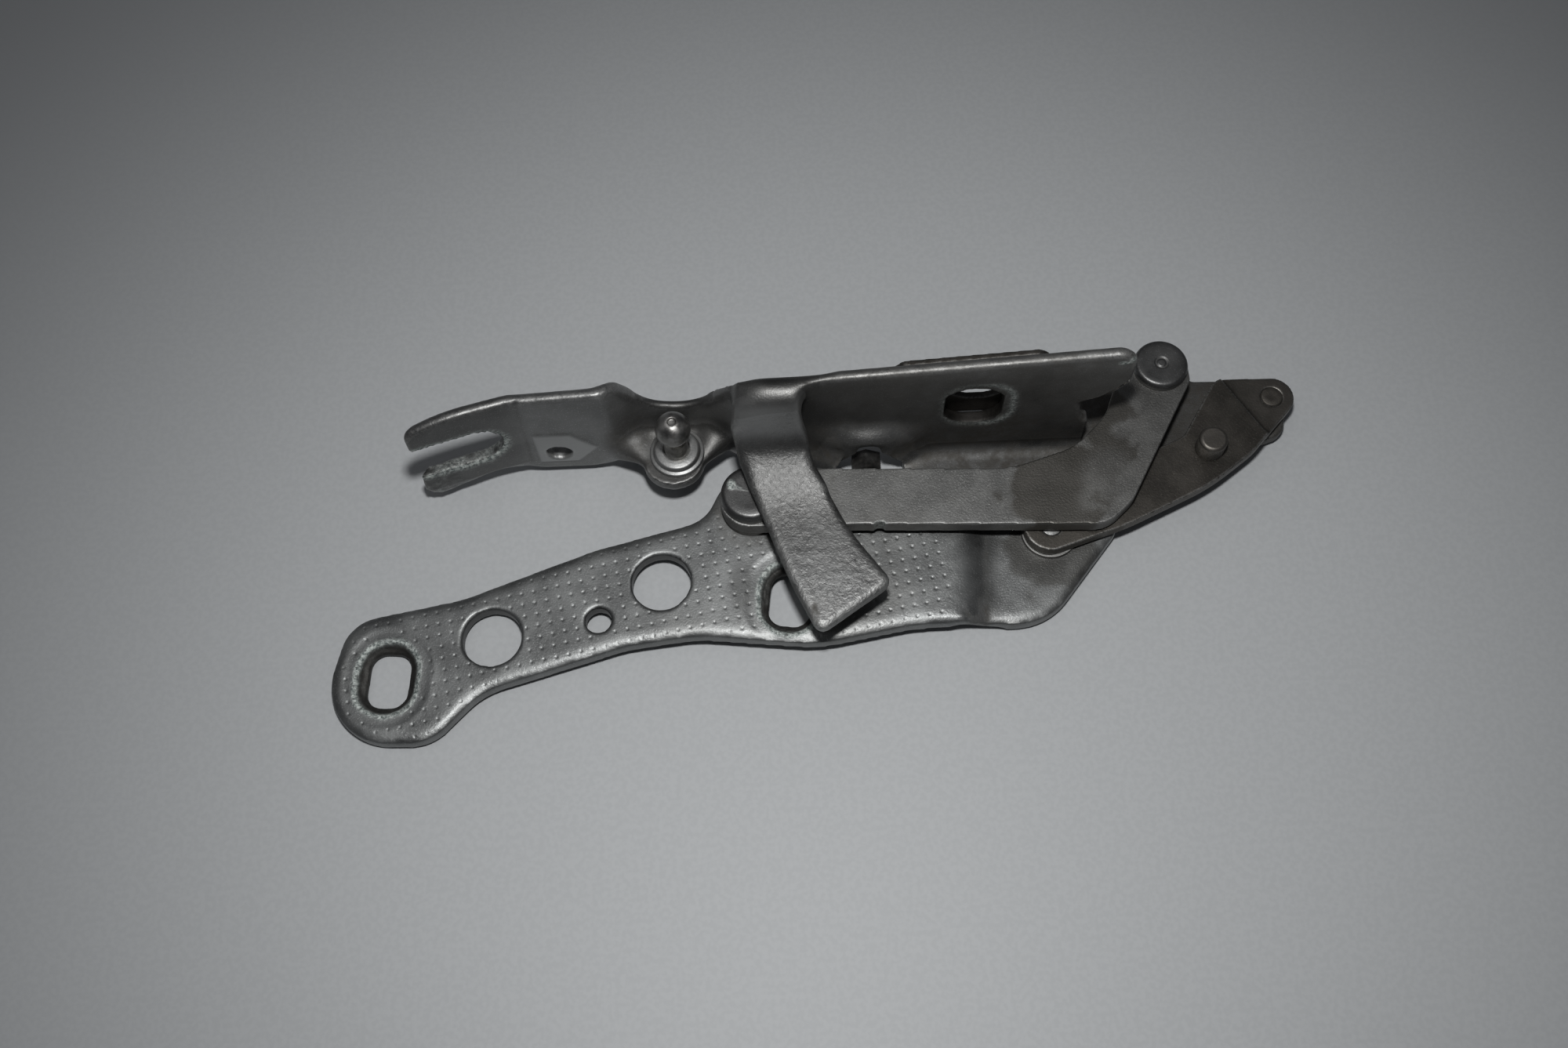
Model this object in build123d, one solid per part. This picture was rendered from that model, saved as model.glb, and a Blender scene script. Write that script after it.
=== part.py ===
from build123d import *
import math
import os

os.makedirs("parts", exist_ok=True)

# Millimetres. X runs along the hood flange, Y away from the fender plate's near edge, Z along the rivets.
# z = 0 is the underside of the level part of the fender plate, and the origin is its locating hole.

# Linkage pivots in plan
PIVOT_A = (23.1, 18.6)
PIVOT_B = (97.4, 9.9)
PIVOT_C = (128.5, 50.2)
PIVOT_D = (157.6, 43.7)

# Fender plate
PLATE_T = 4.3
PLATE_SLOPE_DEG = 2.3
PLATE_BEND_X = 12.0
PLATE_FOLD_TURN = -4.0
JOGGLE_X0 = 74.3
JOGGLE_X1 = 80.5
JOGGLE_DROP = 2.8
LOCATING_HOLE_R = 7.35
SMALL_HOLE_R = 3.25
SLOT_W = 10.2
SLOT_H = 13.8
SLOT_CORNER_R = 3.8
RECESS_W = 15.1
RECESS_H = 18.7
RECESS_DEPTH = 2.1
RECESS_TAPER = 30
FRONT_SLOT = (-67.5, -21.3)
FRONT_SLOT_TURN = -4.7
REAR_SLOT = (31.8, -5.6)
REAR_SLOT_TURN = -7.5
FRONT_HOLE = (-41.9, -12.2)
PIN_HOLE = (-15.6, -9.2)

# Folded hood bracket
SHEET_T = 3.4
WEB_TOP = 1.5
WEB_BOTTOM = WEB_TOP - SHEET_T
FLANGE_Y = 34.5
FLANGE_BACK = FLANGE_Y + SHEET_T
BEND_R = 3.8
STEP_Y = 39.5
FLANGE_BACK_BEVEL = 1.5
FLANGE_FRONT_BEVEL = 0.7
FOLD_END_X = 108.0
EAR_TOP = 10.2
EAR_CENTRE = (3.9, 31.3)
EAR_R = 7.9
STUD = (4.8, 32.1)
STUD_R = 3.0
BALL_Z = 23.3
BALL_R = 4.4
TAB_TOP = 18.5
TAB_T = 3.5
ROLL_TOP = 39.8
HOOD_HOLE = (-25.2, 8.7)
HOOD_HOLE_R = 3.25
HOOD_SLOT = (78.5, 24.5)
HOOD_SLOT_L = 14.0
HOOD_SLOT_H = 18.0
HOOD_SLOT_R = 6.0
PLATE_SLOT = (79.3, 26.5)
PLATE_SLOT_L = 13.0
PLATE_SLOT_H = 14.0
FORK_SLOT_Z = 18.3
FORK_SLOT_R = 6.8
FORK_SLOT_END_X = -44.6

# Links
ARM_BOTTOM = 7.0
ARM_TOP = 11.4
ARM_END_R = 7.6
LINK_BOTTOM = 2.8
LINK_TOP = 6.2
LINK_STEP = 1.0
HEAD_TOP = 14.5
HEAD_C_TOP = 14.0

# Pivot stacks
GAP = 0.3
RUN = 0.04
SHANK_R = 4.0
TAIL_R = 6.4
COUNTERBORE_R = 6.8
COUNTERBORE_Z = 1.5
BUSH_R = 5.0
SHANK_B_R = 2.75
BUSH_B_R = 4.0
SHANK_D_R = 1.9
BUSH_D_R = 2.5
HEAD_D_R = 2.75
D_SLOT_FROM = (0.0, 0.1)
D_SLOT_TO = (-2.3, 2.1)
D_SLOT_R = 3.15

# Stop screw
SCREW_X = 52.5
SCREW_Z = 2.2
SCREW_R = 2.5
SCREW_AF = 7.2
LUG_Y0 = 19.0
LUG_Y1 = 23.4


def corner_reach(points, i):
    """Distance from corner i to the start of its arc, and half of the angle between its two sides."""
    n = len(points)
    cx, cy, r = points[i]
    a = Vector(points[i - 1][0] - cx, points[i - 1][1] - cy)
    b = Vector(points[(i + 1) % n][0] - cx, points[(i + 1) % n][1] - cy)
    half = math.radians(a.get_angle(b)) / 2
    if r <= 0 or math.pi - 2 * half < 0.01:
        return 0.0, half
    return r / math.tan(half), half


def rounded(points):
    """Closed outline through (x, y, radius) corners; a radius too large for its sides is reduced."""
    n = len(points)
    found = [corner_reach(points, i) for i in range(n)]
    share = [1.0] * n
    for i in range(n):
        j = (i + 1) % n
        side = math.dist(points[i][:2], points[j][:2])
        wanted = found[i][0] + found[j][0]
        if wanted > 0.98 * side:
            share[i] = min(share[i], 0.98 * side / wanted)
            share[j] = min(share[j], 0.98 * side / wanted)
    runs = []
    for i in range(n):
        corner = Vector(points[i][0], points[i][1])
        reach, half = found[i]
        reach *= share[i]
        if reach < 0.01:
            runs.append((corner, None, corner))
            continue
        a = (Vector(points[i - 1][0], points[i - 1][1]) - corner).normalized()
        b = (Vector(points[(i + 1) % n][0], points[(i + 1) % n][1]) - corner).normalized()
        r = reach * math.tan(half)
        middle = corner + (a + b).normalized() * (r / math.sin(half) - r)
        runs.append((corner + a * reach, middle, corner + b * reach))
    edges = []
    for i in range(n):
        start, middle, end = runs[i]
        if middle is not None:
            edges.append(ThreePointArc(start, middle, end))
        following = runs[(i + 1) % n][0]
        if (following - end).length > 1e-6:
            edges.append(Line(end, following))
    return make_face(Curve() + edges)


def plan_prism(points, z0, z1):
    return extrude(Plane.XY.offset(z0) * rounded(points), z1 - z0)


def side_prism(points, y0, y1):
    """Outline in X and Z, pushed from y0 to y1."""
    face = Plane((0, y0, 0), x_dir=(1, 0, 0), z_dir=(0, -1, 0)) * rounded(points)
    return extrude(face, y1 - y0, dir=(0, 1, 0))


def end_prism(points, x0, x1):
    """Outline in Y and Z, pushed from x0 to x1."""
    face = Plane((x0, 0, 0), x_dir=(0, 1, 0), z_dir=(1, 0, 0)) * rounded(points)
    return extrude(face, x1 - x0)


def disc(centre, r, z0, z1):
    return Pos(centre[0], centre[1], (z0 + z1) / 2) * Cylinder(r, z1 - z0)


def ring(centre, r, bore, z0, z1):
    return disc(centre, r, z0, z1) - disc(centre, bore, z0 - 1, z1 + 1)


def plate_profile():
    """Side view of the fender plate: sloped left end, level middle, joggled right end."""
    left = -90.0
    drop = (PLATE_BEND_X - left) * math.tan(math.radians(PLATE_SLOPE_DEG))
    low = [(left, -drop, 0), (PLATE_BEND_X, 0, 60), (JOGGLE_X0, 0, 3), (JOGGLE_X1, -JOGGLE_DROP, 3)]
    low.append((125.0, -JOGGLE_DROP, 0))
    high = [(125.0, PLATE_T - JOGGLE_DROP, 0), (JOGGLE_X1, PLATE_T - JOGGLE_DROP, 3)]
    high += [(JOGGLE_X0, PLATE_T, 3), (PLATE_BEND_X, PLATE_T, 60), (left, PLATE_T - drop, 0)]
    return low + high


PLATE_OUTLINE = [
    (-85.5, -37.2, 16), (-77.9, -6.1, 10), (-50.0, -1.6, 30), (-17.0, 9.7, 60), (11.0, 16.2, 9),
    (16.5, 27.6, 8), (31.6, 26.6, 8), (35.5, 14.2, 10), (74.0, 14.2, 20), (92.0, 17.4, 12),
    (120.0, 16.4, 5), (94.9, -14.2, 17), (80.0, -13.9, 30), (62.0, -14.0, 40), (38.4, -18.0, 40),
    (8.8, -14.6, 40), (-8.5, -16.3, 30), (-44.0, -26.0, 18), (-56.0, -38.2, 12),
]


def fender_slot(centre, turn):
    """Through slot with a tapered oval recess in the top face, where the bolt's washer sits."""
    slope = PLATE_SLOPE_DEG if centre[0] < PLATE_BEND_X else 0.0
    top = PLATE_T - max(0.0, PLATE_BEND_X - centre[0]) * math.tan(math.radians(PLATE_SLOPE_DEG))
    place = Pos(centre[0], centre[1], top) * Rot(0, -slope, 0) * Rot(0, 0, turn)
    through = extrude(Pos(0, 0, -9) * RectangleRounded(SLOT_W, SLOT_H, SLOT_CORNER_R), 14)
    lift = 0.3
    grow = 2 * lift * math.tan(math.radians(RECESS_TAPER))
    wide = RECESS_W + grow
    mouth = Pos(0, 0, lift) * RectangleRounded(wide, RECESS_H + grow, wide / 2 - 0.1)
    recess = extrude(mouth, -(RECESS_DEPTH + lift), taper=RECESS_TAPER)
    return place * (through + recess)


def lower_bracket():
    fold_middle = Pos(77.4, -3.0, 0)
    profile = fold_middle * Rot(0, 0, PLATE_FOLD_TURN) * Pos(-77.4, 3.0, 0) * side_prism(plate_profile(), -65, 65)
    body = plan_prism(PLATE_OUTLINE, -9, 8) & profile
    body -= disc((0, 0), LOCATING_HOLE_R, -12, 12)
    body -= disc(FRONT_HOLE, LOCATING_HOLE_R, -12, 12)
    body -= disc(PIN_HOLE, SMALL_HOLE_R, -12, 12)
    body -= fender_slot(FRONT_SLOT, FRONT_SLOT_TURN)
    body -= fender_slot(REAR_SLOT, REAR_SLOT_TURN)
    body -= disc(PIVOT_A, BUSH_R, -12, 12)
    body -= disc(PIVOT_A, COUNTERBORE_R, -12, COUNTERBORE_Z)
    body -= disc(PIVOT_B, BUSH_B_R, -12, 12)
    return body


ARM_OUTLINE = [
    (15.2, 10.7, 7.5), (15.8, 26.8, 7.5), (88.0, 23.6, 26), (104.8, 28.9, 16), (113.4, 37.8, 10),
    (115.8, 43.9, 1.5), (121.4, 47.4, 1), (121.6, 57.1, 6.8), (135.4, 57.1, 6.8), (135.8, 46.2, 4),
    (117.3, 13.6, 9), (110.5, 7.4, 9), (49.4, 10.0, 0),
]


def link_arm():
    body = plan_prism(ARM_OUTLINE, ARM_BOTTOM, ARM_TOP)
    notch = Pos(54.6, 9.0, 9) * Box(2.4, 2.6, 10)
    body -= notch
    body -= disc(PIVOT_A, SHANK_R, 0, 20)
    body -= disc(PIVOT_C, SHANK_R, 0, 20)
    return body


LINK_OUTLINE = [
    (93.2, 1.7, 6.4), (88.8, 13.2, 6.4), (125.0, 29.4, 20), (133.4, 33.0, 5), (143.8, 49.4, 5),
    (170.3, 49.1, 5.4), (150.5, 28.0, 20), (138.4, 19.2, 60), (116.5, 9.3, 60),
]


def short_link():
    body = plan_prism(LINK_OUTLINE, LINK_BOTTOM, LINK_TOP)
    beyond = [(148.1, 44.2, 0), (154.0, 34.1, 0), (160.0, 28.0, 0), (172.0, 40.0, 0), (165.0, 58.0, 0)]
    beyond.append((144.7, 50.0, 0))
    end = plan_prism(LINK_OUTLINE, LINK_BOTTOM - LINK_STEP, LINK_TOP - LINK_STEP)
    cut = plan_prism(beyond, 0, 10)
    body = (body - cut) + (end & cut)
    body -= disc(PIVOT_B, SHANK_B_R, -2, 12)
    body -= disc(PIVOT_D, HEAD_D_R, -2, 12)
    body -= disc((139.2, 29.1), 2.6, -2, 12)
    return body


FLANGE_TOP = [
    (-58.9, 33.2, 3.2), (-49.5, 36.4, 30), (-33.0, 35.2, 60), (-9.0, 37.2, 6), (-2.5, 22.0, 10),
    (4.0, 20.2, 20), (12.0, 20.4, 12), (20.5, 37.2, 12), (41.0, 39.8, 0), (115.6, 46.3, 4.5),
    (115.4, 33.5, 4.5), (109.5, 25.6, 6), (104.6, 23.4, 1.2), (105.8, 16.8, 3), (FOLD_END_X, 12.5, 0),
    (FOLD_END_X, 5.3, 0),
]
FLANGE_LOW = [
    (40.0, 5.3, 0), (40.0, -0.5, 0), (15.5, -0.5, 3), (12.5, 4.0, 3), (-5.0, 4.0, 3), (-8.0, -0.4, 3),
    (-31.0, -0.4, 10), (-41.0, 4.2, 12), (-53.0, 1.0, 10), (-60.0, 1.2, 4),
]


def sheet_path(offset):
    """Plan line of the hood flange: fork leaning to the viewer, straight run, step back behind the ball."""
    lean = math.atan2(7.5, 25.5)
    tip_x = -66.0
    tip_y = FLANGE_Y - (-34.0 - tip_x) * math.tan(lean)
    if offset == 0:
        return [(tip_x, tip_y), (-34.0, FLANGE_Y), (-11.5, FLANGE_Y), (-4.0, STEP_Y), (12.5, STEP_Y),
                (20.5, FLANGE_Y), (118.0, FLANGE_Y)]
    return [(118.0, FLANGE_BACK), (21.6, FLANGE_BACK), (13.6, STEP_Y + offset), (-5.2, STEP_Y + offset),
            (-12.7, FLANGE_BACK), (-34.5, FLANGE_BACK), (tip_x - 1.0, tip_y + offset * 0.98)]


def flange():
    front = [(x, y, 5.0) for x, y in sheet_path(0)]
    back = [(x, y, 8.0) for x, y in sheet_path(SHEET_T)]
    for line in (front, back):
        line[0] = (line[0][0], line[0][1], 0)
        line[-1] = (line[-1][0], line[-1][1], 0)
    body = plan_prism(front + back, -12, 52) & side_prism(FLANGE_TOP + FLANGE_LOW, 15, 50)
    for y, width in ((FLANGE_BACK, FLANGE_BACK_BEVEL), (FLANGE_Y, FLANGE_FRONT_BEVEL)):
        line = [e for e in body.edges() if e.center().X > 42 and e.center().Z > 40 and abs(e.center().Y - y) < 0.05]
        body = chamfer(line, width)
    return body


WEB_OUTLINE = [
    (38.0, 24.6, 1.5), (38.0, 20.2, 1.5), (74.0, 20.8, 12), (92.0, 21.4, 12), (116.0, 21.4, 12),
    (141.0, 29.0, 20), (150.0, 31.6, 10), (160.4, 34.8, 5), (163.4, 50.3, 5.2), (146.0, 51.0, 12),
    (138.0, 51.4, 2), (136.2, 58.4, 8.0), (119.8, 58.4, 8.0), (118.6, 52.0, 3), (109.2, 50.6, 3),
    (FOLD_END_X, 38.5, 0), (60.0, 38.5, 0), (60.0, 24.6, 3),
]


def web():
    """Level part of the folded sheet with its bend up to the flange."""
    inner = FLANGE_Y - BEND_R
    low = WEB_BOTTOM
    outer = BEND_R + SHEET_T
    section = [(5.0, low, 0), (FLANGE_BACK, low, outer), (FLANGE_BACK, 14.0, 0), (FLANGE_Y, 14.0, 0),
               (FLANGE_Y, WEB_TOP, BEND_R), (5.0, WEB_TOP, 0)]
    fold = end_prism(section, 40.0, FOLD_END_X)
    level = plan_prism(WEB_OUTLINE, WEB_BOTTOM, WEB_TOP)
    end = FOLD_END_X
    keep = plan_prism([(38.0, inner, 0), (end, inner, 0), (end, 40.0, 0), (38.0, 40.0, 0)], -5, 15)
    beyond = plan_prism([(end, 10.0, 0), (175.0, 10.0, 0), (175.0, 65.0, 0), (end, 65.0, 0)], -5, 15)
    near = plan_prism([(30.0, 10.0, 0), (end, 10.0, 0), (end, inner, 0), (30.0, inner, 0)], -5, 15)
    return (fold & keep) + (level & beyond) + (level & near)


def ear():
    """Level lug for the ball stud, bent forward from the stepped-back part of the flange."""
    back = STEP_Y + SHEET_T
    low = EAR_TOP - SHEET_T
    section = [(15.0, low, 0), (back, low, 5.6), (back, 18.0, 0), (STEP_Y, 18.0, 0), (STEP_Y, EAR_TOP, 2.4),
               (15.0, EAR_TOP, 0)]
    x, y = EAR_CENTRE
    outline = [(x - EAR_R, y - EAR_R, EAR_R - 0.05), (x + EAR_R, y - EAR_R, EAR_R - 0.05),
               (x + EAR_R, y + 4.0, 3), (12.5, 41.0, 0), (12.5, 44.0, 0), (-4.7, 44.0, 0), (-4.7, 41.0, 0),
               (x - EAR_R, y + 4.0, 3)]
    return end_prism(section, -10, 20) & plan_prism(outline, 0, 30)


TAB_OUTLINE = [
    (20.4, 38.0, 0), (20.0, 27.0, 8), (31.9, -6.5, 60), (38.3, -20.6, 2.4), (56.6, -8.2, 2.4),
    (47.0, 5.4, 60), (36.4, 29.0, 12), (36.2, 32.5, 3), (41.0, 36.0, 1), (41.0, 38.0, 0),
]


def tab():
    """Finger that rolls over the flange's top, drops and runs level above the arm and the fender plate."""
    top = ROLL_TOP
    under = TAB_TOP - TAB_T
    section = [(FLANGE_BACK, 34.0, 0), (FLANGE_BACK, top, 3.8), (30.6, top, 4.6), (26.4, TAB_TOP, 5.0),
               (-25.0, TAB_TOP, 0), (-25.0, under, 0), (29.3, under, 8.0), (33.0, 33.0, 0)]
    return end_prism(section, 15, 60) & plan_prism(TAB_OUTLINE, 0, 60)


def upper_bracket():
    body = flange() + web() + ear() + tab()
    body += disc(PIVOT_C, 8.4, WEB_TOP - 0.5, 5.2)
    body += plan_prism([(45.5, LUG_Y0, 0.8), (59.5, LUG_Y0, 0.8), (59.5, LUG_Y1, 0.8), (45.5, LUG_Y1, 0.8)],
                       WEB_BOTTOM, 6.3)
    arch = [(44.0, -12.0, 0), (62.0, -12.0, 0), (62.0, 7.2, 6.5), (44.0, 7.2, 6.5)]
    body -= side_prism(arch, LUG_Y1, 45)
    body -= disc(PIVOT_C, BUSH_R, -5, 12)
    body -= d_slot()
    body -= Pos(SCREW_X, (LUG_Y0 + LUG_Y1) / 2, SCREW_Z) * Rot(90, 0, 0) * Cylinder(SCREW_R, 8)
    body -= Pos(HOOD_HOLE[0], 36, HOOD_HOLE[1]) * Rot(90, 0, 0) * Cylinder(HOOD_HOLE_R, 12)
    body -= flange_slot(HOOD_SLOT, HOOD_SLOT_L, HOOD_SLOT_H, HOOD_SLOT_R)
    end = [(-75.0, FORK_SLOT_Z - FORK_SLOT_R, 0), (FORK_SLOT_END_X + FORK_SLOT_R, FORK_SLOT_Z - FORK_SLOT_R, 6.7),
           (FORK_SLOT_END_X + FORK_SLOT_R, FORK_SLOT_Z + FORK_SLOT_R, 6.7), (-75.0, FORK_SLOT_Z + FORK_SLOT_R, 0)]
    body -= side_prism(end, 15, 50)
    body -= disc(STUD, STUD_R, 0, 20)
    return body


def flange_slot(centre, length, height, corner):
    plane = Plane((centre[0], 30, centre[1]), x_dir=(1, 0, 0), z_dir=(0, -1, 0))
    return extrude(plane * RectangleRounded(length, height, corner), 14, dir=(0, 1, 0))


def d_slot():
    """Clearance slot in the web round the opened pivot."""
    x0 = PIVOT_D[0] + D_SLOT_FROM[0]
    y0 = PIVOT_D[1] + D_SLOT_FROM[1]
    x1 = PIVOT_D[0] + D_SLOT_TO[0]
    y1 = PIVOT_D[1] + D_SLOT_TO[1]
    angle = math.degrees(math.atan2(y1 - y0, x1 - x0))
    length = math.hypot(x1 - x0, y1 - y0)
    bar = Pos((x0 + x1) / 2, (y0 + y1) / 2, 0) * Rot(0, 0, angle) * Box(length, 2 * D_SLOT_R, 16)
    return bar + disc((x0, y0), D_SLOT_R, -8, 8) + disc((x1, y1), D_SLOT_R, -8, 8)


def reinforcement_plate():
    outline = [(58.5, 36.4, 2), (60.9, 39.3, 2), (93.1, 42.3, 2), (95.5, 40.6, 2), (96.6, 15.0, 4), (58.4, 15.0, 4)]
    body = side_prism(outline, FLANGE_BACK, FLANGE_BACK + 1.6)
    return body - flange_slot(PLATE_SLOT, PLATE_SLOT_L, PLATE_SLOT_H, 5.5)


def rivet_head(centre, r, z0, z1, edge):
    """Disc with a bevelled top edge."""
    head = disc(centre, r, z0, z1)
    return chamfer(head.edges().group_by(Axis.Z)[-1], edge)


def rivet_a():
    """Rivet whose tail is set flush in a counterbore under the plate."""
    low = COUNTERBORE_Z - GAP
    body = rivet_head(PIVOT_A, 7.5, ARM_TOP, HEAD_TOP, 1.0)
    body += disc(PIVOT_A, SHANK_R, low, ARM_TOP)
    body += disc(PIVOT_A, TAIL_R, low - 1.0, low)
    return body


def rivet_c():
    body = rivet_head(PIVOT_C, 6.9, ARM_TOP, HEAD_C_TOP, 1.0)
    body += disc(PIVOT_C, SHANK_R, WEB_BOTTOM - GAP, ARM_TOP)
    body += disc(PIVOT_C, TAIL_R, WEB_BOTTOM - GAP - 1.2, WEB_BOTTOM - GAP)
    return body


def rivet_b():
    tail = -JOGGLE_DROP - GAP
    return disc(PIVOT_B, SHANK_B_R, tail, LINK_TOP) + disc(PIVOT_B, 5.2, tail - 0.6, tail)


def rivet_d():
    washer_top = WEB_BOTTOM - GAP
    body = disc(PIVOT_D, HEAD_D_R, LINK_BOTTOM - LINK_STEP, LINK_TOP - LINK_STEP + 0.5)
    body += disc(PIVOT_D, SHANK_D_R, washer_top - 0.7, LINK_BOTTOM - LINK_STEP)
    body += disc(PIVOT_D, 3.6, washer_top - 1.5, washer_top - 0.7)
    return body


def ball_stud():
    """Stud with a ball turned in bands, a drive dimple in its crown and a flat tail under the ear."""
    low = EAR_TOP - SHEET_T
    crown = BALL_Z + BALL_R - 0.9
    profile = [(0, low - 1.2), (STUD_R + 1.2, low - 1.2), (STUD_R + 1.2, low), (STUD_R, low)]
    profile.append((STUD_R, BALL_Z - math.sqrt(BALL_R**2 - STUD_R**2)))
    for degrees, reach in ((-16.0, 1.04), (16.0, 1.04), (46.0, 1.02), (75.5, 1.0)):
        turn = math.radians(degrees)
        profile.append((reach * BALL_R * math.cos(turn), BALL_Z + reach * BALL_R * math.sin(turn)))
    profile += [(1.1, crown), (0, crown)]
    face = Plane.XZ * make_face(Polyline(*profile, close=True))
    return Pos(STUD[0], STUD[1], 0) * revolve(face, Axis.Z)


def stud_collar():
    body = disc(STUD, 5.9, EAR_TOP, EAR_TOP + 2.6)
    body = chamfer(body.edges().group_by(Axis.Z)[-1], 0.8)
    return body - disc(STUD, STUD_R, 0, 30)


def hexagon_bar(x, y0, y1, z, across):
    """Hexagon along Y with a corner pointing up."""
    plane = Plane((x, y0, z), x_dir=(1, 0, 0), z_dir=(0, -1, 0))
    face = plane * RegularPolygon(across / 2, 6, major_radius=False, rotation=30)
    return extrude(face, y1 - y0, dir=(0, 1, 0))


def stop_screw():
    body = Pos(SCREW_X, (14.9 + 28.0) / 2, SCREW_Z) * Rot(90, 0, 0) * Cylinder(SCREW_R, 28.0 - 14.9)
    body += hexagon_bar(SCREW_X, 28.0, 33.2, SCREW_Z, SCREW_AF)
    return body


def stop_screw_nut():
    body = hexagon_bar(SCREW_X, LUG_Y1, LUG_Y1 + 2.7, SCREW_Z, SCREW_AF)
    return body - Pos(SCREW_X, LUG_Y1, SCREW_Z) * Rot(90, 0, 0) * Cylinder(SCREW_R, 12)


def stop_pin():
    body = disc((139.2, 29.1), 2.6, LINK_BOTTOM, LINK_TOP)
    top = rivet_head((139.2, 29.1), 3.6, LINK_TOP, 12.2, 0.5)
    return body + top


PIECES = {
    "lower_bracket": lower_bracket,
    "bush_a": lambda: ring(PIVOT_A, BUSH_R, SHANK_R + RUN, COUNTERBORE_Z, PLATE_T),
    "washer_a": lambda: ring(PIVOT_A, 7.5, SHANK_R + GAP, PLATE_T, ARM_BOTTOM - GAP),
    "bush_b": lambda: ring(PIVOT_B, BUSH_B_R, SHANK_B_R + RUN, -JOGGLE_DROP, WEB_TOP),
    "washer_b": lambda: ring(PIVOT_B, 7.2, SHANK_B_R + GAP, WEB_TOP, LINK_BOTTOM - GAP),
    "link_arm": link_arm,
    "rivet_a": rivet_a,
    "rivet_c": rivet_c,
    "upper_bracket": upper_bracket,
    "reinforcement_plate": reinforcement_plate,
    "bush_c": lambda: ring(PIVOT_C, BUSH_R, SHANK_R + RUN, WEB_BOTTOM, 5.2),
    "washer_c": lambda: ring(PIVOT_C, 7.4, SHANK_R + GAP, 5.2, ARM_BOTTOM - GAP),
    "ball_stud": ball_stud,
    "stud_collar": stud_collar,
    "stop_screw": stop_screw,
    "stop_screw_nut": stop_screw_nut,
    "short_link": short_link,
    "rivet_b": rivet_b,
    "rivet_d": rivet_d,
    "bush_d": lambda: ring(PIVOT_D, BUSH_D_R, SHANK_D_R, WEB_BOTTOM, WEB_TOP),
    "washer_d": lambda: ring(PIVOT_D, 5.6, SHANK_D_R, WEB_BOTTOM - GAP - 0.7, WEB_BOTTOM - GAP),
    "stop_pin": stop_pin,
}

for name, make in PIECES.items():
    solid = make()
    solid.label = name
    export_step(solid, f"parts/{name}.step")
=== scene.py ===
# Looks of a hood hinge: fine worn skins in place of its solids, their finishes, a floor, a camera and lamps

import math
from types import SimpleNamespace

import bmesh
import bpy
import numpy as np
from mathutils import Euler, Matrix, Vector, kdtree


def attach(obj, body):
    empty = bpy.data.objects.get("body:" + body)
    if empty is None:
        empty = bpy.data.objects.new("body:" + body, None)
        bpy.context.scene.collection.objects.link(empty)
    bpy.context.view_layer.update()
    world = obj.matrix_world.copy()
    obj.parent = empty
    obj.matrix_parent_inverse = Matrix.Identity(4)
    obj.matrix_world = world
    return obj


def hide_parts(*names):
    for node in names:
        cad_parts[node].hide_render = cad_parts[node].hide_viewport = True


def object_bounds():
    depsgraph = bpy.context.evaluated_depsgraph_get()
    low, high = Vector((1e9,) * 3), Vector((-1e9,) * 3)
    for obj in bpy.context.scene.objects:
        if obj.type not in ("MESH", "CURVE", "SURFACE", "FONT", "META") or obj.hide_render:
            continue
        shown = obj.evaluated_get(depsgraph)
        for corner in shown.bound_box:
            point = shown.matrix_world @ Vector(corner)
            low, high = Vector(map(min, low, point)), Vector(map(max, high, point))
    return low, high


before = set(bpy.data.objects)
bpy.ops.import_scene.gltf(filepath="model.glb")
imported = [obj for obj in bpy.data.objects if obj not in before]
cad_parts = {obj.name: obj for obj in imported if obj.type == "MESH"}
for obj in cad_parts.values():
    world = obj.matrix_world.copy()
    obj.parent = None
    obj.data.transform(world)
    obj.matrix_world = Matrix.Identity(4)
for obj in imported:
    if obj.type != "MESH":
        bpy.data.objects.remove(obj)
CAD_BOX = [list(corner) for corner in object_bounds()]
FLOOR_Z = CAD_BOX[0][2]

# Places and sizes in millimetres, in the frame of the solids
PIVOT_A = (23.1, 18.6)
PIVOT_B = (97.4, 9.9)
PIVOT_C = (128.5, 50.2)
PIVOT_D = (157.6, 43.7)
STUD = (4.8, 32.1)
STOP_PIN = (139.2, 29.1)
BALL_R = 4.4
BALL_Z = 23.3
TURNED_SIDES = 96
FAR = 99.0

# Fender plate: mouth sizes are half width, half length and corner radius
FRONT_SLOT = (-67.5, -21.3)
FRONT_SLOT_TURN = -4.7
REAR_SLOT = (31.8, -5.6)
REAR_SLOT_TURN = -7.5
MOUTH_SIZE = (7.55, 9.35, 7.4)
ROUND_HOLES = [
    ((0.0, 0.0), 7.35), ((-41.9, -12.2), 7.35), ((-15.6, -9.2), 3.25), (PIVOT_A, 6.8), (PIVOT_B, 4.0),
]
PLATE_TOP = 4.3
PLATE_SLOPE = math.tan(math.radians(2.3))
PLATE_BEND_X = 12.0
JOGGLE_X0 = 74.3
JOGGLE_X1 = 80.5
JOGGLE_Y = -3.0
JOGGLE_DROP = 2.8
JOGGLE_LEAN = math.tan(math.radians(4.0))
GRID_START = (-52.83, -4.39)
GRID_TURN = math.radians(9.84)
GRID_PITCH = 3.04
GRID_WANDER = 0.07
DENT_R = 0.50
DENT_DEPTH = 0.15
DENT_FINE_R = 0.95

# Folded bracket, seen from the front: slots are at (x, z), with sizes as for the mouths
FORK_SLOT = (-60.0, 18.3)
FORK_SIZE = (22.2, 6.8, 6.7)
HOOD_SLOT = (78.5, 24.5)
HOOD_SLOT_SIZE = (7.0, 9.0, 6.0)
HOOD_SEAT = (79.6, 24.6)
HOOD_SEAT_SIZE = (8.6, 9.9, 7.2)
BACK_SLOT = (79.3, 26.5)
BACK_SLOT_SIZE = (6.5, 7.0, 5.5)
ARCH_X = 53.0

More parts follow.
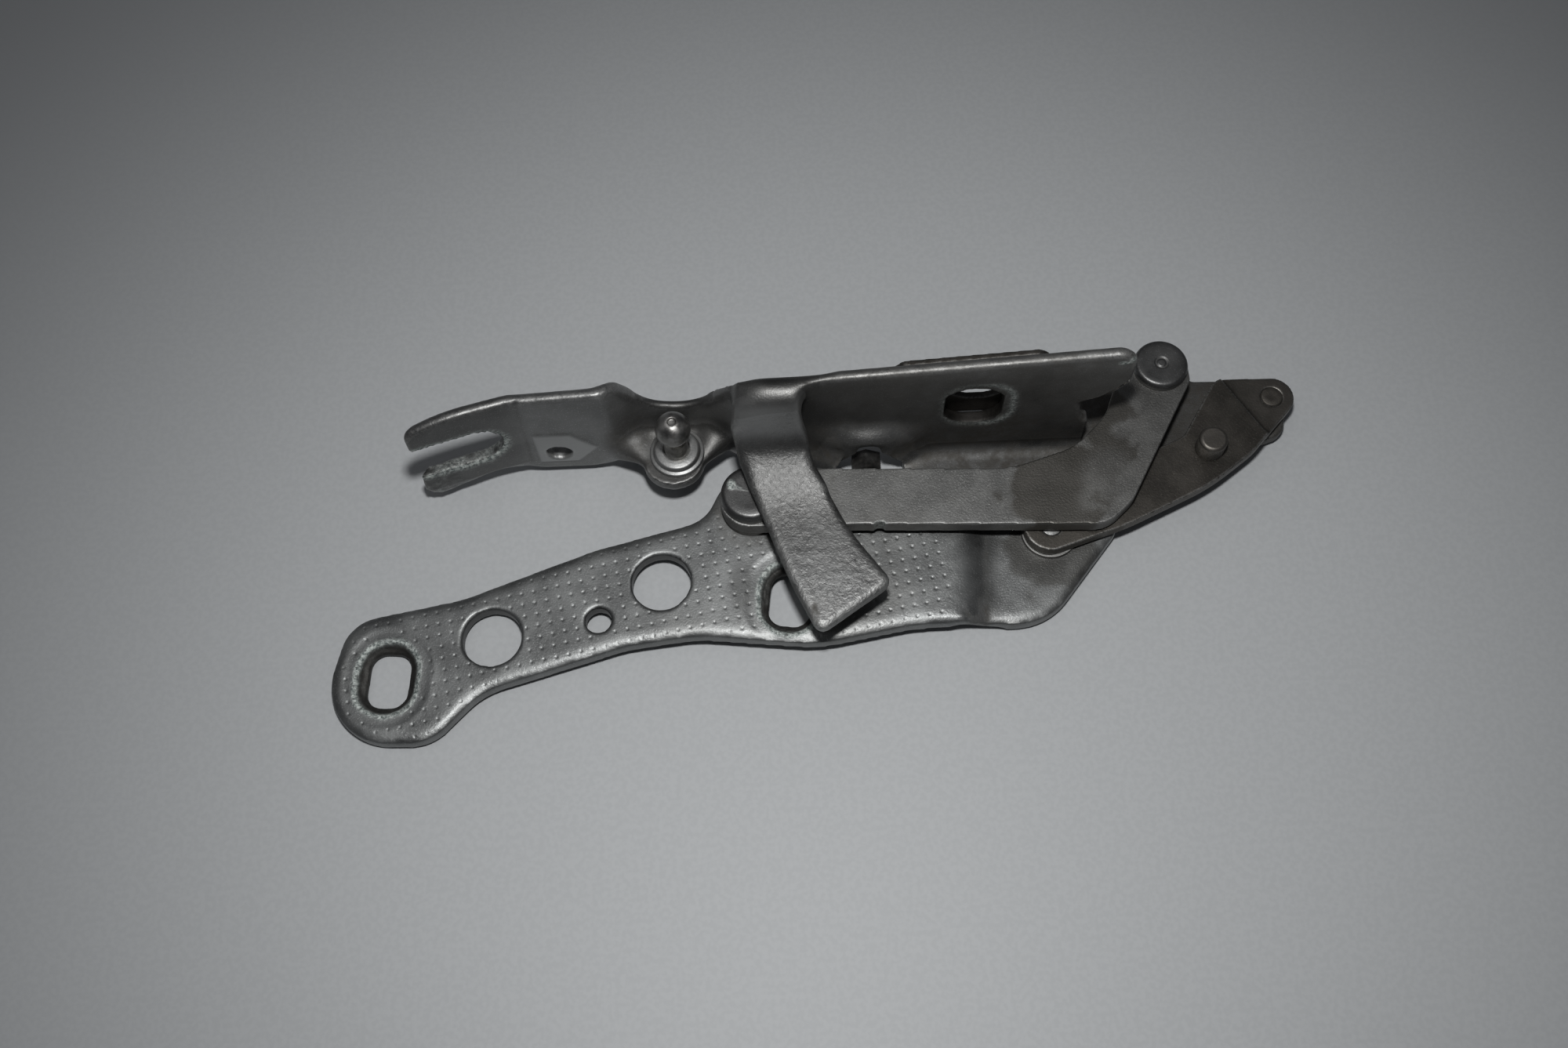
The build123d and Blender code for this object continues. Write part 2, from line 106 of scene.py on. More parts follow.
# Stop screw along Y
SCREW_X = 52.5
SCREW_Z = 2.2
SCREW_TIP = 14.9
HEAD_FROM = 28.0
HEAD_TO = 33.2
NUT_FROM = 23.4
NUT_TO = 26.1
HEXAGON_ACROSS = 7.2
HEXAGON_BEVEL = 0.45
THREAD_PITCH = 0.8

# Corners of four hulls that fill inside corners of the folded sheet: left and right of the ear,
# between the ear's flange and the finger's roll, and at the left foot of the arch
EAR_ROOT_LEFT = [
    (-3.5, 29.5, 7.0), (-3.5, 29.5, 10.0), (-6.0, 31.6, 6.6), (-6.0, 31.6, 10.0), (-12.0, 34.0, 2.6),
    (-13.5, 34.7, 9.0), (-13.5, 37.5, 3.0), (-3.0, 42.0, 6.8), (-9.0, 38.5, 13.0), (-3.0, 41.0, 12.5),
]
EAR_ROOT_RIGHT = [
    (11.3, 29.0, 7.0), (11.3, 29.0, 10.0), (13.2, 32.0, 6.6), (13.2, 32.0, 10.0), (18.0, 35.0, 4.0),
    (20.0, 35.4, 10.0), (20.0, 37.5, 4.0), (11.0, 42.0, 6.8), (16.0, 38.5, 13.0), (11.0, 41.0, 12.5),
]
ROLL_ROOT = [
    (12.5, 39.5, 19.6), (12.5, 42.4, 19.6), (14.0, 38.8, 24.2), (14.0, 41.8, 24.2), (18.0, 36.4, 32.0),
    (18.0, 39.4, 32.0), (21.8, 34.0, 41.4), (21.8, 37.6, 41.4), (21.8, 34.6, 30.0), (21.8, 37.8, 30.0),
]
ARCH_FOOT = [(x, y, z) for x in (35.0, 43.8) for y, z in (
    (33.0, -1.7), (37.6, -0.5), (37.8, 8.0), (34.6, 8.0), (31.8, 3.2), (30.7, 0.4), (31.2, -1.7))]

# Colours that the finishes share
WORN_TONE = (0.44, 0.44, 0.43)
OIL_TONE = (0.088, 0.083, 0.074)
# Grime, and painted shade in hollows, on walls, under parts and round pivot A
GRIME_AND_SHADE_TONE = (0.072, 0.066, 0.056)
CRUSHED_DARK = (0.12, 0.145, 0.14)
CRUSHED_BRIGHT = (0.62, 0.66, 0.63)
# Near black, for painted shade in slots, holes, folds and behind the flange, and for darker patches
DARKENING_AND_SHADE_TONE = (0.016, 0.014, 0.012)
RUST_TONE = (0.11, 0.062, 0.034)
GREASE_TONE = (0.47, 0.44, 0.36)
RUBBED_TONE = (0.5, 0.5, 0.48)
TABLE_TONES = ((0.425, 0.438, 0.446), (0.450, 0.463, 0.471))
# Painted shade for the light's falloff on the table, away from the object
TABLE_FALLOFF_SHADE_TONE = (0.215, 0.222, 0.230)

# Metres and degrees
CAMERA_PLACE = (0.03365, -0.14483, 0.36410)
CAMERA_TURN = (23.785, 1.311, -2.0)
LENS = 36.0
FLOOR_HALF = 1.2
WORLD_TONE = (0.9, 0.93, 1.0, 1)
WORLD_STRENGTH = 0.065


# Numbers over whole meshes

def ease(low, high, values):
    """0 below low, 1 above high, with a smooth rise between."""
    t = np.clip((values - low) / (high - low), 0, 1)
    return t * t * (3 - 2 * t)


def window(values, rise, fall):
    """1 between the rise and the fall, which are (from, to) pairs, and 0 outside them."""
    return ease(*rise, values) * (1 - ease(*fall, values))


def bell(values, centre, width):
    """1 at the centre, and near 0 at twice the width from it."""
    return np.exp(-((values - centre) / width) ** 2)


def between(values, low, high):
    return (values > low) & (values < high)


def plan_distance(x, y, centre):
    return np.hypot(x - centre[0], y - centre[1])


def lattice_noise(points, cell, seed):
    """Smooth noise from -1 to 1 with features of about one cell, the same on every run."""
    q = points / cell
    base = np.floor(q).astype(np.int64)
    f = q - base
    f = f * f * (3 - 2 * f)
    total = np.zeros(len(points))
    for dx in (0, 1):
        for dy in (0, 1):
            for dz in (0, 1):
                x, y, z = base[:, 0] + dx, base[:, 1] + dy, base[:, 2] + dz
                h = (x * 73856093) ^ (y * 19349663) ^ (z * 83492791) ^ (seed * 374761393)
                h = (h ^ (h >> 13)) * 1274126177
                value = ((h ^ (h >> 16)) & 0xFFFF) / 32767.5 - 1
                weight = (f[:, 0] if dx else 1 - f[:, 0]) * (f[:, 1] if dy else 1 - f[:, 1])
                total += value * weight * (f[:, 2] if dz else 1 - f[:, 2])
    return total


def cloud(points, cell, seed):
    """Three octaves of noise."""
    rough = lattice_noise(points, cell, seed)
    middle = lattice_noise(points, cell / 2.1, seed + 7)
    fine = lattice_noise(points, cell / 4.3, seed + 13)
    return (rough + 0.5 * middle + 0.25 * fine) / 1.5


def slot_distance(across, along, centre, size, turn=0.0):
    """Distance outside a turned rectangle with round corners; negative inside it."""
    half_width, half_length, corner = size
    angle = math.radians(-turn)
    dx = across - centre[0]
    dy = along - centre[1]
    x = dx * math.cos(angle) - dy * math.sin(angle)
    y = dx * math.sin(angle) + dy * math.cos(angle)
    qx = np.abs(x) - (half_width - corner)
    qy = np.abs(y) - (half_length - corner)
    outside = np.hypot(np.maximum(qx, 0), np.maximum(qy, 0))
    return outside + np.minimum(np.maximum(qx, qy), 0) - corner


def blob(x, y, centre, size):
    """1 at the centre of an ellipse, 0 from its edge outward."""
    return 1 - ease(0.45, 1.0, np.hypot((x - centre[0]) / size[0], (y - centre[1]) / size[1]))


def vertex_values(mesh, name):
    """The vertices' co or normal, as an N x 3 array."""
    values = np.empty(len(mesh.vertices) * 3)
    mesh.vertices.foreach_get(name, values)
    return values.reshape(-1, 3)


def edge_ends(mesh):
    """Vertex numbers of both ends of every edge."""
    ends = np.empty(len(mesh.edges) * 2, dtype=np.int32)
    mesh.edges.foreach_get("vertices", ends)
    return ends.reshape(-1, 2).T


def neighbour_sums(a, b, points):
    """For every point, the sum of those that an edge joins it to."""
    total = np.empty_like(points)
    for axis in range(3):
        total[:, axis] = np.bincount(a, points[b, axis], len(points))
        total[:, axis] += np.bincount(b, points[a, axis], len(points))
    return total


class Skin:
    """Points and normals of a mesh in millimetres, with the values that its material reads."""

    def __init__(self, piece):
        self.mesh = piece.data
        self.points = vertex_values(self.mesh, "co") * 1000
        self.refresh()

    def refresh(self):
        self.normals = vertex_values(self.mesh, "normal")
        self.up = self.normals[:, 2]
        self.x, self.y, self.z = self.points.T

    def move(self, shift):
        """shift is an N x 3 array, in millimetres."""
        self.points = self.points + shift
        self.mesh.vertices.foreach_set("co", (self.points / 1000).ravel())
        self.mesh.update()
        self.refresh()

    def give(self, name, values):
        """Stores one number, or one for each point, held between 0 and 1."""
        held = np.clip(values, 0, 1) + np.zeros(len(self.points))
        layer = self.mesh.attributes.new(name, "FLOAT", "POINT")
        layer.data.foreach_set("value", np.ascontiguousarray(held, dtype=np.float32))

    def convexity(self, passes=3):
        """Positive on outside edges and negative in inside corners."""
        a, b = edge_ends(self.mesh)
        count = np.maximum(np.bincount(np.r_[a, b], minlength=len(self.points)), 1)
        middle = neighbour_sums(a, b, self.points) / count[:, None]
        lean = -((middle - self.points) * self.normals).sum(1)
        for _ in range(passes):
            around = np.bincount(a, lean[b], len(lean)) + np.bincount(b, lean[a], len(lean))
            lean = 0.4 * lean + 0.6 * around / count
        return lean


def edge_value(skin, level):
    return np.clip(skin.convexity() / level, 0, 1)


def soften(skin, share, passes):
    """Evens out the region where share is above 0, which fills its inside corners and rounds its edges."""
    wanted = share > 0.01
    a, b = edge_ends(skin.mesh)
    keep = wanted[a] | wanted[b]
    a, b = a[keep], b[keep]
    used, local = np.unique(np.r_[a, b], return_inverse=True)
    a, b = local[:len(a)], local[len(a):]
    weight = 0.5 * share[used][:, None]
    count = np.maximum(np.bincount(np.r_[a, b], minlength=len(used)), 1)[:, None]
    points = skin.points[used]
    for _ in range(passes):
        points = points + weight * (neighbour_sums(a, b, points) / count - points)
    shift = np.zeros_like(skin.points)
    shift[used] = points - skin.points[used]
    skin.move(shift)


def plan_tree(x, y):
    """Search tree over points in plan."""
    tree = kdtree.KDTree(len(x))
    for i, place in enumerate(zip(x, y)):
        tree.insert((*place, 0), i)
    tree.balance()
    return tree


def plan_reach(tree, x, y, wanted):
    """Distance in plan from the wanted points to the nearest point of the tree, and FAR for the others."""
    found = np.full(len(x), FAR)
    for row in np.nonzero(wanted)[0]:
        found[row] = tree.find((x[row], y[row], 0))[2]
    return found


def rim_distance(skin, wanted, walls):
    """Plan distance from the wanted points to the nearest wall, taken from every second wall point."""
    tree = plan_tree(skin.x[walls][::2], skin.y[walls][::2])
    return plan_reach(tree, skin.x, skin.y, wanted)


def rounding(distance, width, depth):
    """How far an edge that is rolled over lies below the flat, at this distance from it."""
    t = np.clip(1 - distance / width, 0, 0.95)
    return depth * (1 - np.sqrt(1 - t * t))


# Materials

class Graph:
    """Short way to write the nodes of a material that takes its place from the object, in millimetres."""

    def __init__(self, name):
        self.material = bpy.data.materials.new(name)
        self.material.use_nodes = True
        self.tree = self.material.node_tree
        self.shader = self.tree.nodes["Principled BSDF"]
        self.place = self.tree.nodes.new("ShaderNodeTexCoord").outputs["Object"]

    def set(self, socket, value):
        """Links another node's output, or sets a number, a vector or a colour."""
        if hasattr(value, "is_output"):
            self.tree.links.new(value, socket)
        elif isinstance(value, tuple) and len(value) < len(socket.default_value):
            socket.default_value = (*value, 1)
        else:
            socket.default_value = value

    def noise(self, size, detail=3.0, roughness=0.55, distortion=0.0):
        node = self.tree.nodes.new("ShaderNodeTexNoise")
        self.set(node.inputs["Vector"], self.place)
        node.inputs["Scale"].default_value = 1000.0 / size
        node.inputs["Detail"].default_value = detail
        node.inputs["Roughness"].default_value = roughness
        node.inputs["Distortion"].default_value = distortion
        return node.outputs["Fac"]

    def value(self, name):
        node = self.tree.nodes.new("ShaderNodeAttribute")
        node.attribute_name = name
        return node.outputs["Fac"]

    def do(self, operation, a, b):
        node = self.tree.nodes.new("ShaderNodeMath")
        node.operation = operation
        self.set(node.inputs[0], a)
        self.set(node.inputs[1], b)
        return node.outputs[0]

    def times(self, a, b):
        return self.do("MULTIPLY", a, b)

    def span(self, value, low, high, to_low=0.0, to_high=1.0):
        node = self.tree.nodes.new("ShaderNodeMapRange")
        node.interpolation_type = "SMOOTHSTEP"
        self.set(node.inputs["Value"], value)
        node.inputs["From Min"].default_value = low
        node.inputs["From Max"].default_value = high
        node.inputs["To Min"].default_value = to_low
        node.inputs["To Max"].default_value = to_high
        return node.outputs["Result"]

    def mix(self, factor, a, b):
        node = self.tree.nodes.new("ShaderNodeMix")
        node.data_type = "RGBA"
        self.set(node.inputs[0], factor)
        self.set(node.inputs[6], a)
        self.set(node.inputs[7], b)
        return node.outputs[2]

    def bump(self, height, millimetres, normal=None):
        node = self.tree.nodes.new("ShaderNodeBump")
        node.inputs["Strength"].default_value = 1.0
        node.inputs["Distance"].default_value = millimetres / 1000
        self.set(node.inputs["Height"], height)
        if normal is not None:
            self.set(node.inputs["Normal"], normal)
        return node.outputs["Normal"]

    def finish(self, color, roughness, metallic, normal):
        self.set(self.shader.inputs["Base Color"], color)
        self.set(self.shader.inputs["Roughness"], roughness)
        self.set(self.shader.inputs["Metallic"], metallic)
        self.set(self.shader.inputs["Normal"], normal)
        return self.material


def scaled(tone, factor, plus=0.0):
    return tuple(factor * c + plus for c in tone)


def paint(name, tone, roughness, grain=0.05, cast=0.0):
    """Thin dark metallic coat. A piece's edge, oil and scrape values wear it, and its cast value gives it a
    cast grain. Its values for paler paint and painted light, for grime and painted shade, and for darkening
    and painted shade make it lighter or darker.
    """
    g = Graph(name)
    patches = g.noise(9.0, 4.0, 0.6)
    color = g.mix(g.span(patches, 0.3, 0.72), scaled(tone, 0.80), scaled(tone, 1.20))
    flecks = g.span(g.noise(0.32, 2.0, 0.6), 0.58, 0.74, 0.0, 0.7)
    color = g.mix(flecks, color, scaled(tone, 2.4))
    broad = g.span(g.noise(34.0, 3.0, 0.5), 0.5, 0.75, 0.0, 0.35)
    color = g.mix(broad, color, (tone[0] * 0.84, tone[1] * 0.81, tone[2] * 0.77))
    edge = g.times(g.span(g.value("edge"), 0.15, 0.75), g.span(g.noise(1.6, 5.0, 0.7, 2.5), 0.32, 0.6))
    color = g.mix(g.times(edge, 0.75), color, WORN_TONE)
    # Paler paint, and painted light where a piece's value stands for light
    color = g.mix(g.value("paler_and_painted_light"), color, scaled(tone, 1.7, 0.02))
    oil = g.value("oil")
    color = g.mix(g.times(oil, 0.85), color, OIL_TONE)
    # Grime, and painted shade where a piece's value stands for shade
    grime_and_painted_shade = g.value("grime_and_painted_shade")
    dust_and_shade = g.times(grime_and_painted_shade, g.span(g.noise(2.4, 5.0, 0.65), 0.28, 0.66))
    color = g.mix(g.times(dust_and_shade, 0.9), color, GRIME_AND_SHADE_TONE)
    scrape = g.times(g.value("scrape"), g.span(g.noise(1.1, 5.0, 0.7), 0.26, 0.5))
    crushed = g.mix(g.span(g.noise(0.8, 4.0, 0.7), 0.35, 0.65), CRUSHED_DARK, CRUSHED_BRIGHT)
    color = g.mix(scrape, color, crushed)
    # Near black: mostly painted shade in slots, holes, folds and behind the flange
    darkening_and_painted_shade = g.times(g.value("darkening_and_painted_shade"), g.do("SUBTRACT", 1.0, g.times(scrape, 0.85)))
    color = g.mix(darkening_and_painted_shade, color, DARKENING_AND_SHADE_TONE)
    rough = g.span(patches, 0.3, 0.7, roughness - 0.03, roughness + 0.05)
    rough = g.do("ADD", rough, g.times(scrape, 0.16))
    rough = g.do("ADD", rough, g.times(grime_and_painted_shade, 0.16))
    rough = g.do("SUBTRACT", rough, g.times(oil, 0.06))
    metal = g.do("SUBTRACT", 0.92, g.times(g.do("MAXIMUM", dust_and_shade, scrape), 0.5))
    normal = g.bump(g.noise(0.5, 3.0, 0.6), grain)
    normal = g.bump(g.times(g.noise(0.9, 4.0, 0.75), scrape), 0.25, normal)
    if cast > 0:
        normal = g.bump(g.times(g.noise(1.15, 4.0, 0.6, 0.5), g.value("cast")), cast, normal)
    return g.finish(color, rough, metal, normal)


def steel(name, tone, roughness):
    """Bare or plated steel with rolled grain, dull patches, a little rust, rubbed edges and grease."""
    g = Graph(name)
    patches = g.noise(3.2, 4.0, 0.6)
    color = g.mix(g.span(patches, 0.3, 0.7), scaled(tone, 0.55), scaled(tone, 1.3))
    rust = g.times(g.span(g.noise(2.0, 5.0, 0.7), 0.56, 0.74), 0.6)
    color = g.mix(rust, color, RUST_TONE)
    edge = g.span(g.value("edge"), 0.2, 0.9)
    color = g.mix(g.times(edge, 0.5), color, RUBBED_TONE)
    grease = g.value("grease")
    color = g.mix(grease, color, GREASE_TONE)
    rough = g.span(patches, 0.3, 0.7, roughness - 0.05, roughness + 0.10)
    metal = g.do("SUBTRACT", 0.95, g.times(g.do("MAXIMUM", rust, grease), 0.9))
    return g.finish(color, rough, metal, g.bump(g.noise(0.4, 3.0, 0.6), 0.03))


def table_paint():
    """Pale, finely grained table top, with painted shade: darker away from the object, where the light
    falls off.
    """
    g = Graph("table_paint")
    color = g.mix(g.span(g.noise(1.3, 2.0, 0.5), 0.35, 0.65), *TABLE_TONES)
    reach = g.tree.nodes.new("ShaderNodeVectorMath")
    reach.operation = "DISTANCE"
    g.set(reach.inputs[0], g.place)
    reach.inputs[1].default_value = (0.05, -0.02, FLOOR_Z)
    # Painted shade: the table darkens away from the object as the light falls off
    color = g.mix(g.span(reach.outputs["Value"], 0.10, 0.36), color, TABLE_FALLOFF_SHADE_TONE)
    return g.finish(color, 0.55, 0.0, g.bump(g.noise(0.9, 2.0, 0.5), 0.015))


PLATE_PAINT = paint("plate_paint", (0.212, 0.217, 0.215), 0.445)
HOOD_PAINT = paint("hood_paint", (0.205, 0.207, 0.205), 0.46, cast=0.17)
ARM_PAINT = paint("arm_paint", (0.180, 0.180, 0.175), 0.52, grain=0.07)
LINK_PAINT = paint("link_paint", (0.086, 0.079, 0.070), 0.47)
HEAD_PAINT = paint("head_paint", (0.125, 0.125, 0.124), 0.42, grain=0.03)
DARK_STEEL = steel("dark_steel_finish", (0.120, 0.117, 0.112), 0.45)
BARE_STEEL = steel("bare_steel_finish", (0.27, 0.265, 0.255), 0.36)


# Meshes

def add_piece(name, mesh, body, nodes, material):
    """Hangs a mesh on a body in place of its nodes, with this material."""
    piece = bpy.data.objects.new(name, mesh)
    bpy.context.collection.objects.link(piece)
    mesh.materials.clear()
    mesh.materials.append(material)
    for polygon in mesh.polygons:
        polygon.use_smooth = True
    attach(piece, body)
    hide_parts(*nodes)
    return piece


def rounded_copy(node, voxel, passes, fillings=()):
    """The node's solid as a fine even mesh, with edges rounded like those of pressed, painted sheet."""
    work = bmesh.new()
    work.from_mesh(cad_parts[node].data)
    bmesh.ops.remove_doubles(work, verts=work.verts, dist=2e-6)
    for points in fillings:
        corners = [work.verts.new(Vector(point) / 1000) for point in points]
        hull = bmesh.ops.convex_hull(work, input=corners)
        left_over = hull["geom_interior"] + hull["geom_unused"]
        loose = {item for item in left_over if isinstance(item, bmesh.types.BMVert)}
        bmesh.ops.delete(work, geom=list(loose), context="VERTS")
    mesh = bpy.data.meshes.new(node + "_copy")
    work.to_mesh(mesh)
    work.free()
    helper = bpy.data.objects.new(node + "_copy", mesh)
    bpy.context.collection.objects.link(helper)
    remesh = helper.modifiers.new("remesh", "REMESH")
    remesh.mode = "VOXEL"
    remesh.voxel_size = voxel / 1000
    smooth = helper.modifiers.new("smooth", "SMOOTH")
    smooth.factor = 0.5
    smooth.iterations = passes
    graph = bpy.context.evaluated_depsgraph_get()
    made = bpy.data.meshes.new_from_object(helper.evaluated_get(graph))
    bpy.data.objects.remove(helper)
    return made


def outline_arc(points, steps=5):
    """(r, z, radius) corners as a line whose corners are rounded."""
    line = []
    for i, (r, z, radius) in enumerate(points):
        if radius <= 0 or i in (0, len(points) - 1):
            line.append((r, z))
            continue
        here = Vector((r, z))
        before = Vector(points[i - 1][:2]) - here
        after = Vector(points[i + 1][:2]) - here
        reach = min(radius, 0.49 * before.length, 0.49 * after.length)
        start = here + before.normalized() * reach
        end = here + after.normalized() * reach
        for step in range(steps + 1):
            t = step / steps
            line.append(tuple(start * (1 - t) ** 2 + here * 2 * t * (1 - t) + end * t * t))
    return line


def lathe(points, centre, sides=TURNED_SIDES, along_y=False):
    """Mesh turned from an outline of (radius, height, corner radius), round Z or round Y."""
    line = outline_arc(points)
    angles = [2 * math.pi * k / sides for k in range(sides)]
    work = bmesh.new()
    rings = []
    for r, z in line:
        places = [(0, 0, z)] if r < 1e-6 else [(r * math.cos(a), r * math.sin(a), z) for a in angles]
        rings.append([work.verts.new(Vector(place)) for place in places])
    for low, high in zip(rings, rings[1:]):
        for k in range(sides):
            after = (k + 1) % sides
            lower = [low[k % len(low)], low[after % len(low)]]
            upper = [high[after % len(high)], high[k % len(high)]]
            corners = list(dict.fromkeys(lower + upper))
            if len(corners) > 2:
                work.faces.new(corners)
    if len(rings[0]) > 1 and (Vector(line[0]) - Vector(line[-1])).length < 1e-6:
        bmesh.ops.remove_doubles(work, verts=work.verts, dist=1e-5)
    bmesh.ops.recalc_face_normals(work, faces=work.faces)
    for vert in work.verts:
        place = vert.co.xzy if along_y else vert.co
        vert.co = (Vector(centre) + place) / 1000
    if along_y:
        # Two swapped axes have turned the mesh inside out
        bmesh.ops.recalc_face_normals(work, faces=work.faces)
    mesh = bpy.data.meshes.new("turned")
    work.to_mesh(mesh)
    work.free()
    return mesh


# Fender plate

def joggle_place(x, y):
    """0 where the joggle starts, and 1 where it ends."""
    return (x - (y - JOGGLE_Y) * JOGGLE_LEAN - JOGGLE_X0) / (JOGGLE_X1 - JOGGLE_X0)


def plate_top(x, y):
    """Height of the plate's top face."""
    slope = np.maximum(0, PLATE_BEND_X - x) * PLATE_SLOPE
    return PLATE_TOP - slope - JOGGLE_DROP * np.clip(joggle_place(x, y), 0, 1)


def mouth_distance(x, y):
    """Distance outside the mouths of the two slots' recesses."""
    front = slot_distance(x, y, FRONT_SLOT, MOUTH_SIZE, FRONT_SLOT_TURN)
    rear = slot_distance(x, y, REAR_SLOT, MOUTH_SIZE, REAR_SLOT_TURN)
    return np.minimum(front, rear)


def hole_distance(x, y):
    """Distance outside the round holes."""
    return np.min([plan_distance(x, y, centre) - r for centre, r in ROUND_HOLES], axis=0)


def dent_tree():
    """Search tree over a square grid of small dents, clear of slots and holes."""
    ux, uy = math.cos(GRID_TURN), math.sin(GRID_TURN)
    i, j = np.meshgrid(np.arange(-12, 46), np.arange(-14, 16))
    i, j = i.ravel(), j.ravel()
    x = GRID_START[0] + GRID_PITCH * (i * ux + j * uy) + GRID_WANDER * np.sin(12.9 * i + 78.2 * j)
    y = GRID_START[1] + GRID_PITCH * (i * uy - j * ux) + GRID_WANDER * np.sin(39.3 * i + 11.1 * j)
    clear = (mouth_distance(x, y) > 2.0) & (hole_distance(x, y) > 1.0) & (x < JOGGLE_X0 - 1.0)
    return plan_tree(x[clear], y[clear])


def refine_round_dents(mesh, dents):
    """Halves the edges of the top face round every dent."""
    x, y, _ = (vertex_values(mesh, "co") * 1000).T
    facing_up = vertex_values(mesh, "normal")[:, 2] > 0.9
    near = plan_reach(dents, x, y, facing_up) < DENT_FINE_R
    work = bmesh.new()
    work.from_mesh(mesh)
    work.verts.ensure_lookup_table()
    chosen = [e for e in work.edges if near[e.verts[0].index] and near[e.verts[1].index]]
    bmesh.ops.subdivide_edges(work, edges=chosen, cuts=1, use_grid_fill=True)
    work.to_mesh(mesh)
    work.free()


def plate_marks(skin):
    """Parts of the plate, found before any of it is moved."""
    near_top = skin.z > plate_top(skin.x, skin.y) - 1.6
    face = near_top & (skin.up > 0.3)
    mouth = mouth_distance(skin.x, skin.y)
    holes = hole_distance(skin.x, skin.y)
    walls = (np.abs(skin.up) < 0.35) & (mouth > 0.8) & (holes > 0.8)
    rim = rim_distance(skin, face, walls)
    return SimpleNamespace(near_top=near_top, face=face, mouth=mouth, holes=holes, walls=walls, rim=rim)


def press_plate(skin, marks, dents):
    """Heights of the pressed face: rolled rim and hole edges, bolt seats, a dish, dents, crushed mouths."""
    mouth = marks.mouth
    rolled = rounding(marks.rim, 3.6, 0.95)
    rolled += np.where(marks.holes > -0.3, rounding(np.maximum(marks.holes, 0), 0.9, 0.3), 0)
    seat = 0.13 * (1 - ease(2.0, 3.8, mouth))
    ridge = 0.06 * bell(mouth, 4.0, 0.8)
    dish = 0.20 * window(skin.x, (17.0, 22.5), (34.0, 46.0)) * (1 - ease(2.0, 9.0, skin.y))
    flat = marks.face & (skin.up > 0.9) & (marks.rim > 1.0)
    reach = plan_reach(dents, skin.x, skin.y, flat)
    dent = DENT_DEPTH * np.clip(1 - (reach / DENT_R) ** 2, 0, 1) ** 2
    crush = np.where(marks.near_top, bell(mouth, 0.1, 0.6), 0) * (0.06 + 0.22 * cloud(skin.points, 1.5, 3))
    height = np.where(marks.face, ridge - rolled - seat - dish, 0) - dent - crush
    skin.move(np.c_[0 * height, 0 * height, height])


def wear_plate(skin, marks):
    """Scraped mouths, oil beyond the joggle, a dark patch by the joggle's near corner, and painted shade in
    the recesses and holes, at the joggle, beside the rear slot, under the plate and round pivot A.
    """
    x, y, mouth = skin.x, skin.y, marks.mouth
    ring = np.where(marks.near_top, 1.5 * bell(mouth, 0.25 + 0.45 * cloud(skin.points, 3.4, 9), 0.62), 0)
    inside = between(mouth, -4.6, 0.0)
    skin.give("scrape", ring + inside * (0.06 + 0.2 * cloud(skin.points, 2.0, 21)))
    skin.give("edge", edge_value(skin, 0.07) * np.where(mouth < 1.5, 0.2, 0.35))
    stain = blob(x, y, (97.5, 6.0), (15.0, 12.5)) + 0.4 * blob(x, y, (103.0, -4.0), (12.0, 9.0))
    patchy = cloud(skin.points, 7.0, 31)
    skin.give("oil", 0.7 * ease(0.2, 0.75, stain + 0.7 * patchy) * (skin.z < 3.2) * (x > 78))
    joggle = joggle_place(x, y)
    # Painted shade in the joggle's crease, on the underside, round pivot A and in the recesses; the corner
    # patch is a dark mark
    line = 0.5 * bell(joggle, 1.0, 0.12) * (marks.rim > 1.0)
    under = 0.5 * (skin.up < -0.4)
    corner = 0.5 * blob(x, y, (77.5, -11.0), (4.5, 6.0)) * (patchy > -0.1)
    around_a = 0.6 * (1 - ease(7.5, 13.0, plan_distance(x, y, PIVOT_A))) * (x > 8)
    recess = 0.75 * inside * (marks.holes > 0)
    skin.give("grime_and_painted_shade", line + under + corner + around_a + recess)
    # Painted shade in the mouths and holes, on the joggle's step and beside the rear slot
    in_mouth = 0.86 * ease(0.2, 1.0, -mouth) * (mouth > -6.0)
    in_hole = 0.62 * (marks.holes < 0.5) * (np.abs(skin.up) < 0.6)
    step = 0.42 * window(joggle, (0.0, 0.95), (1.0, 1.9)) * marks.face
    beside_slot = 0.36 * blob(x, y, (20.2, -2.6), (4.5, 9.5)) * marks.face
    skin.give("darkening_and_painted_shade", in_mouth + in_hole + step + beside_slot)


def make_plate():
    """Fender plate: rolled-over rim, dented face, bolt seats pressed round both slots, crushed mouths."""
    mesh = rounded_copy("lower_bracket", 0.50, 4)
    dents = dent_tree()
    refine_round_dents(mesh, dents)
    piece = add_piece("fender_plate", mesh, "fender_side", ["lower_bracket"], PLATE_PAINT)
    skin = Skin(piece)
    marks = plate_marks(skin)
    press_plate(skin, marks, dents)
    at_joggle = window(skin.x, (70.5, 73.5), (82.0, 85.0)) * (marks.rim > 2.0)
    at_rim = (rim_distance(skin, marks.near_top, marks.walls) < 1.3) & marks.near_top
    at_rim &= (marks.mouth > 1.5) & (marks.holes > 1.5)
    soften(skin, np.clip(at_joggle + 0.6 * at_rim, 0, 1), 14)
    soften(skin, at_joggle, 50)
    wear_plate(skin, marks)


# Folded bracket

def pad_shape(x, z):
    """1 on the five-sided pad round the small hole."""
    inside = np.minimum(x + 31.0, 18.8 - z)
    inside = np.minimum(inside, (-21.4 - x) * 0.78 + (19.2 - z) * 0.63)
    inside = np.minimum(inside, (-14.8 - x) * 0.785 - (11.0 - z) * 0.62)
    return ease(0.0, 0.9, inside)


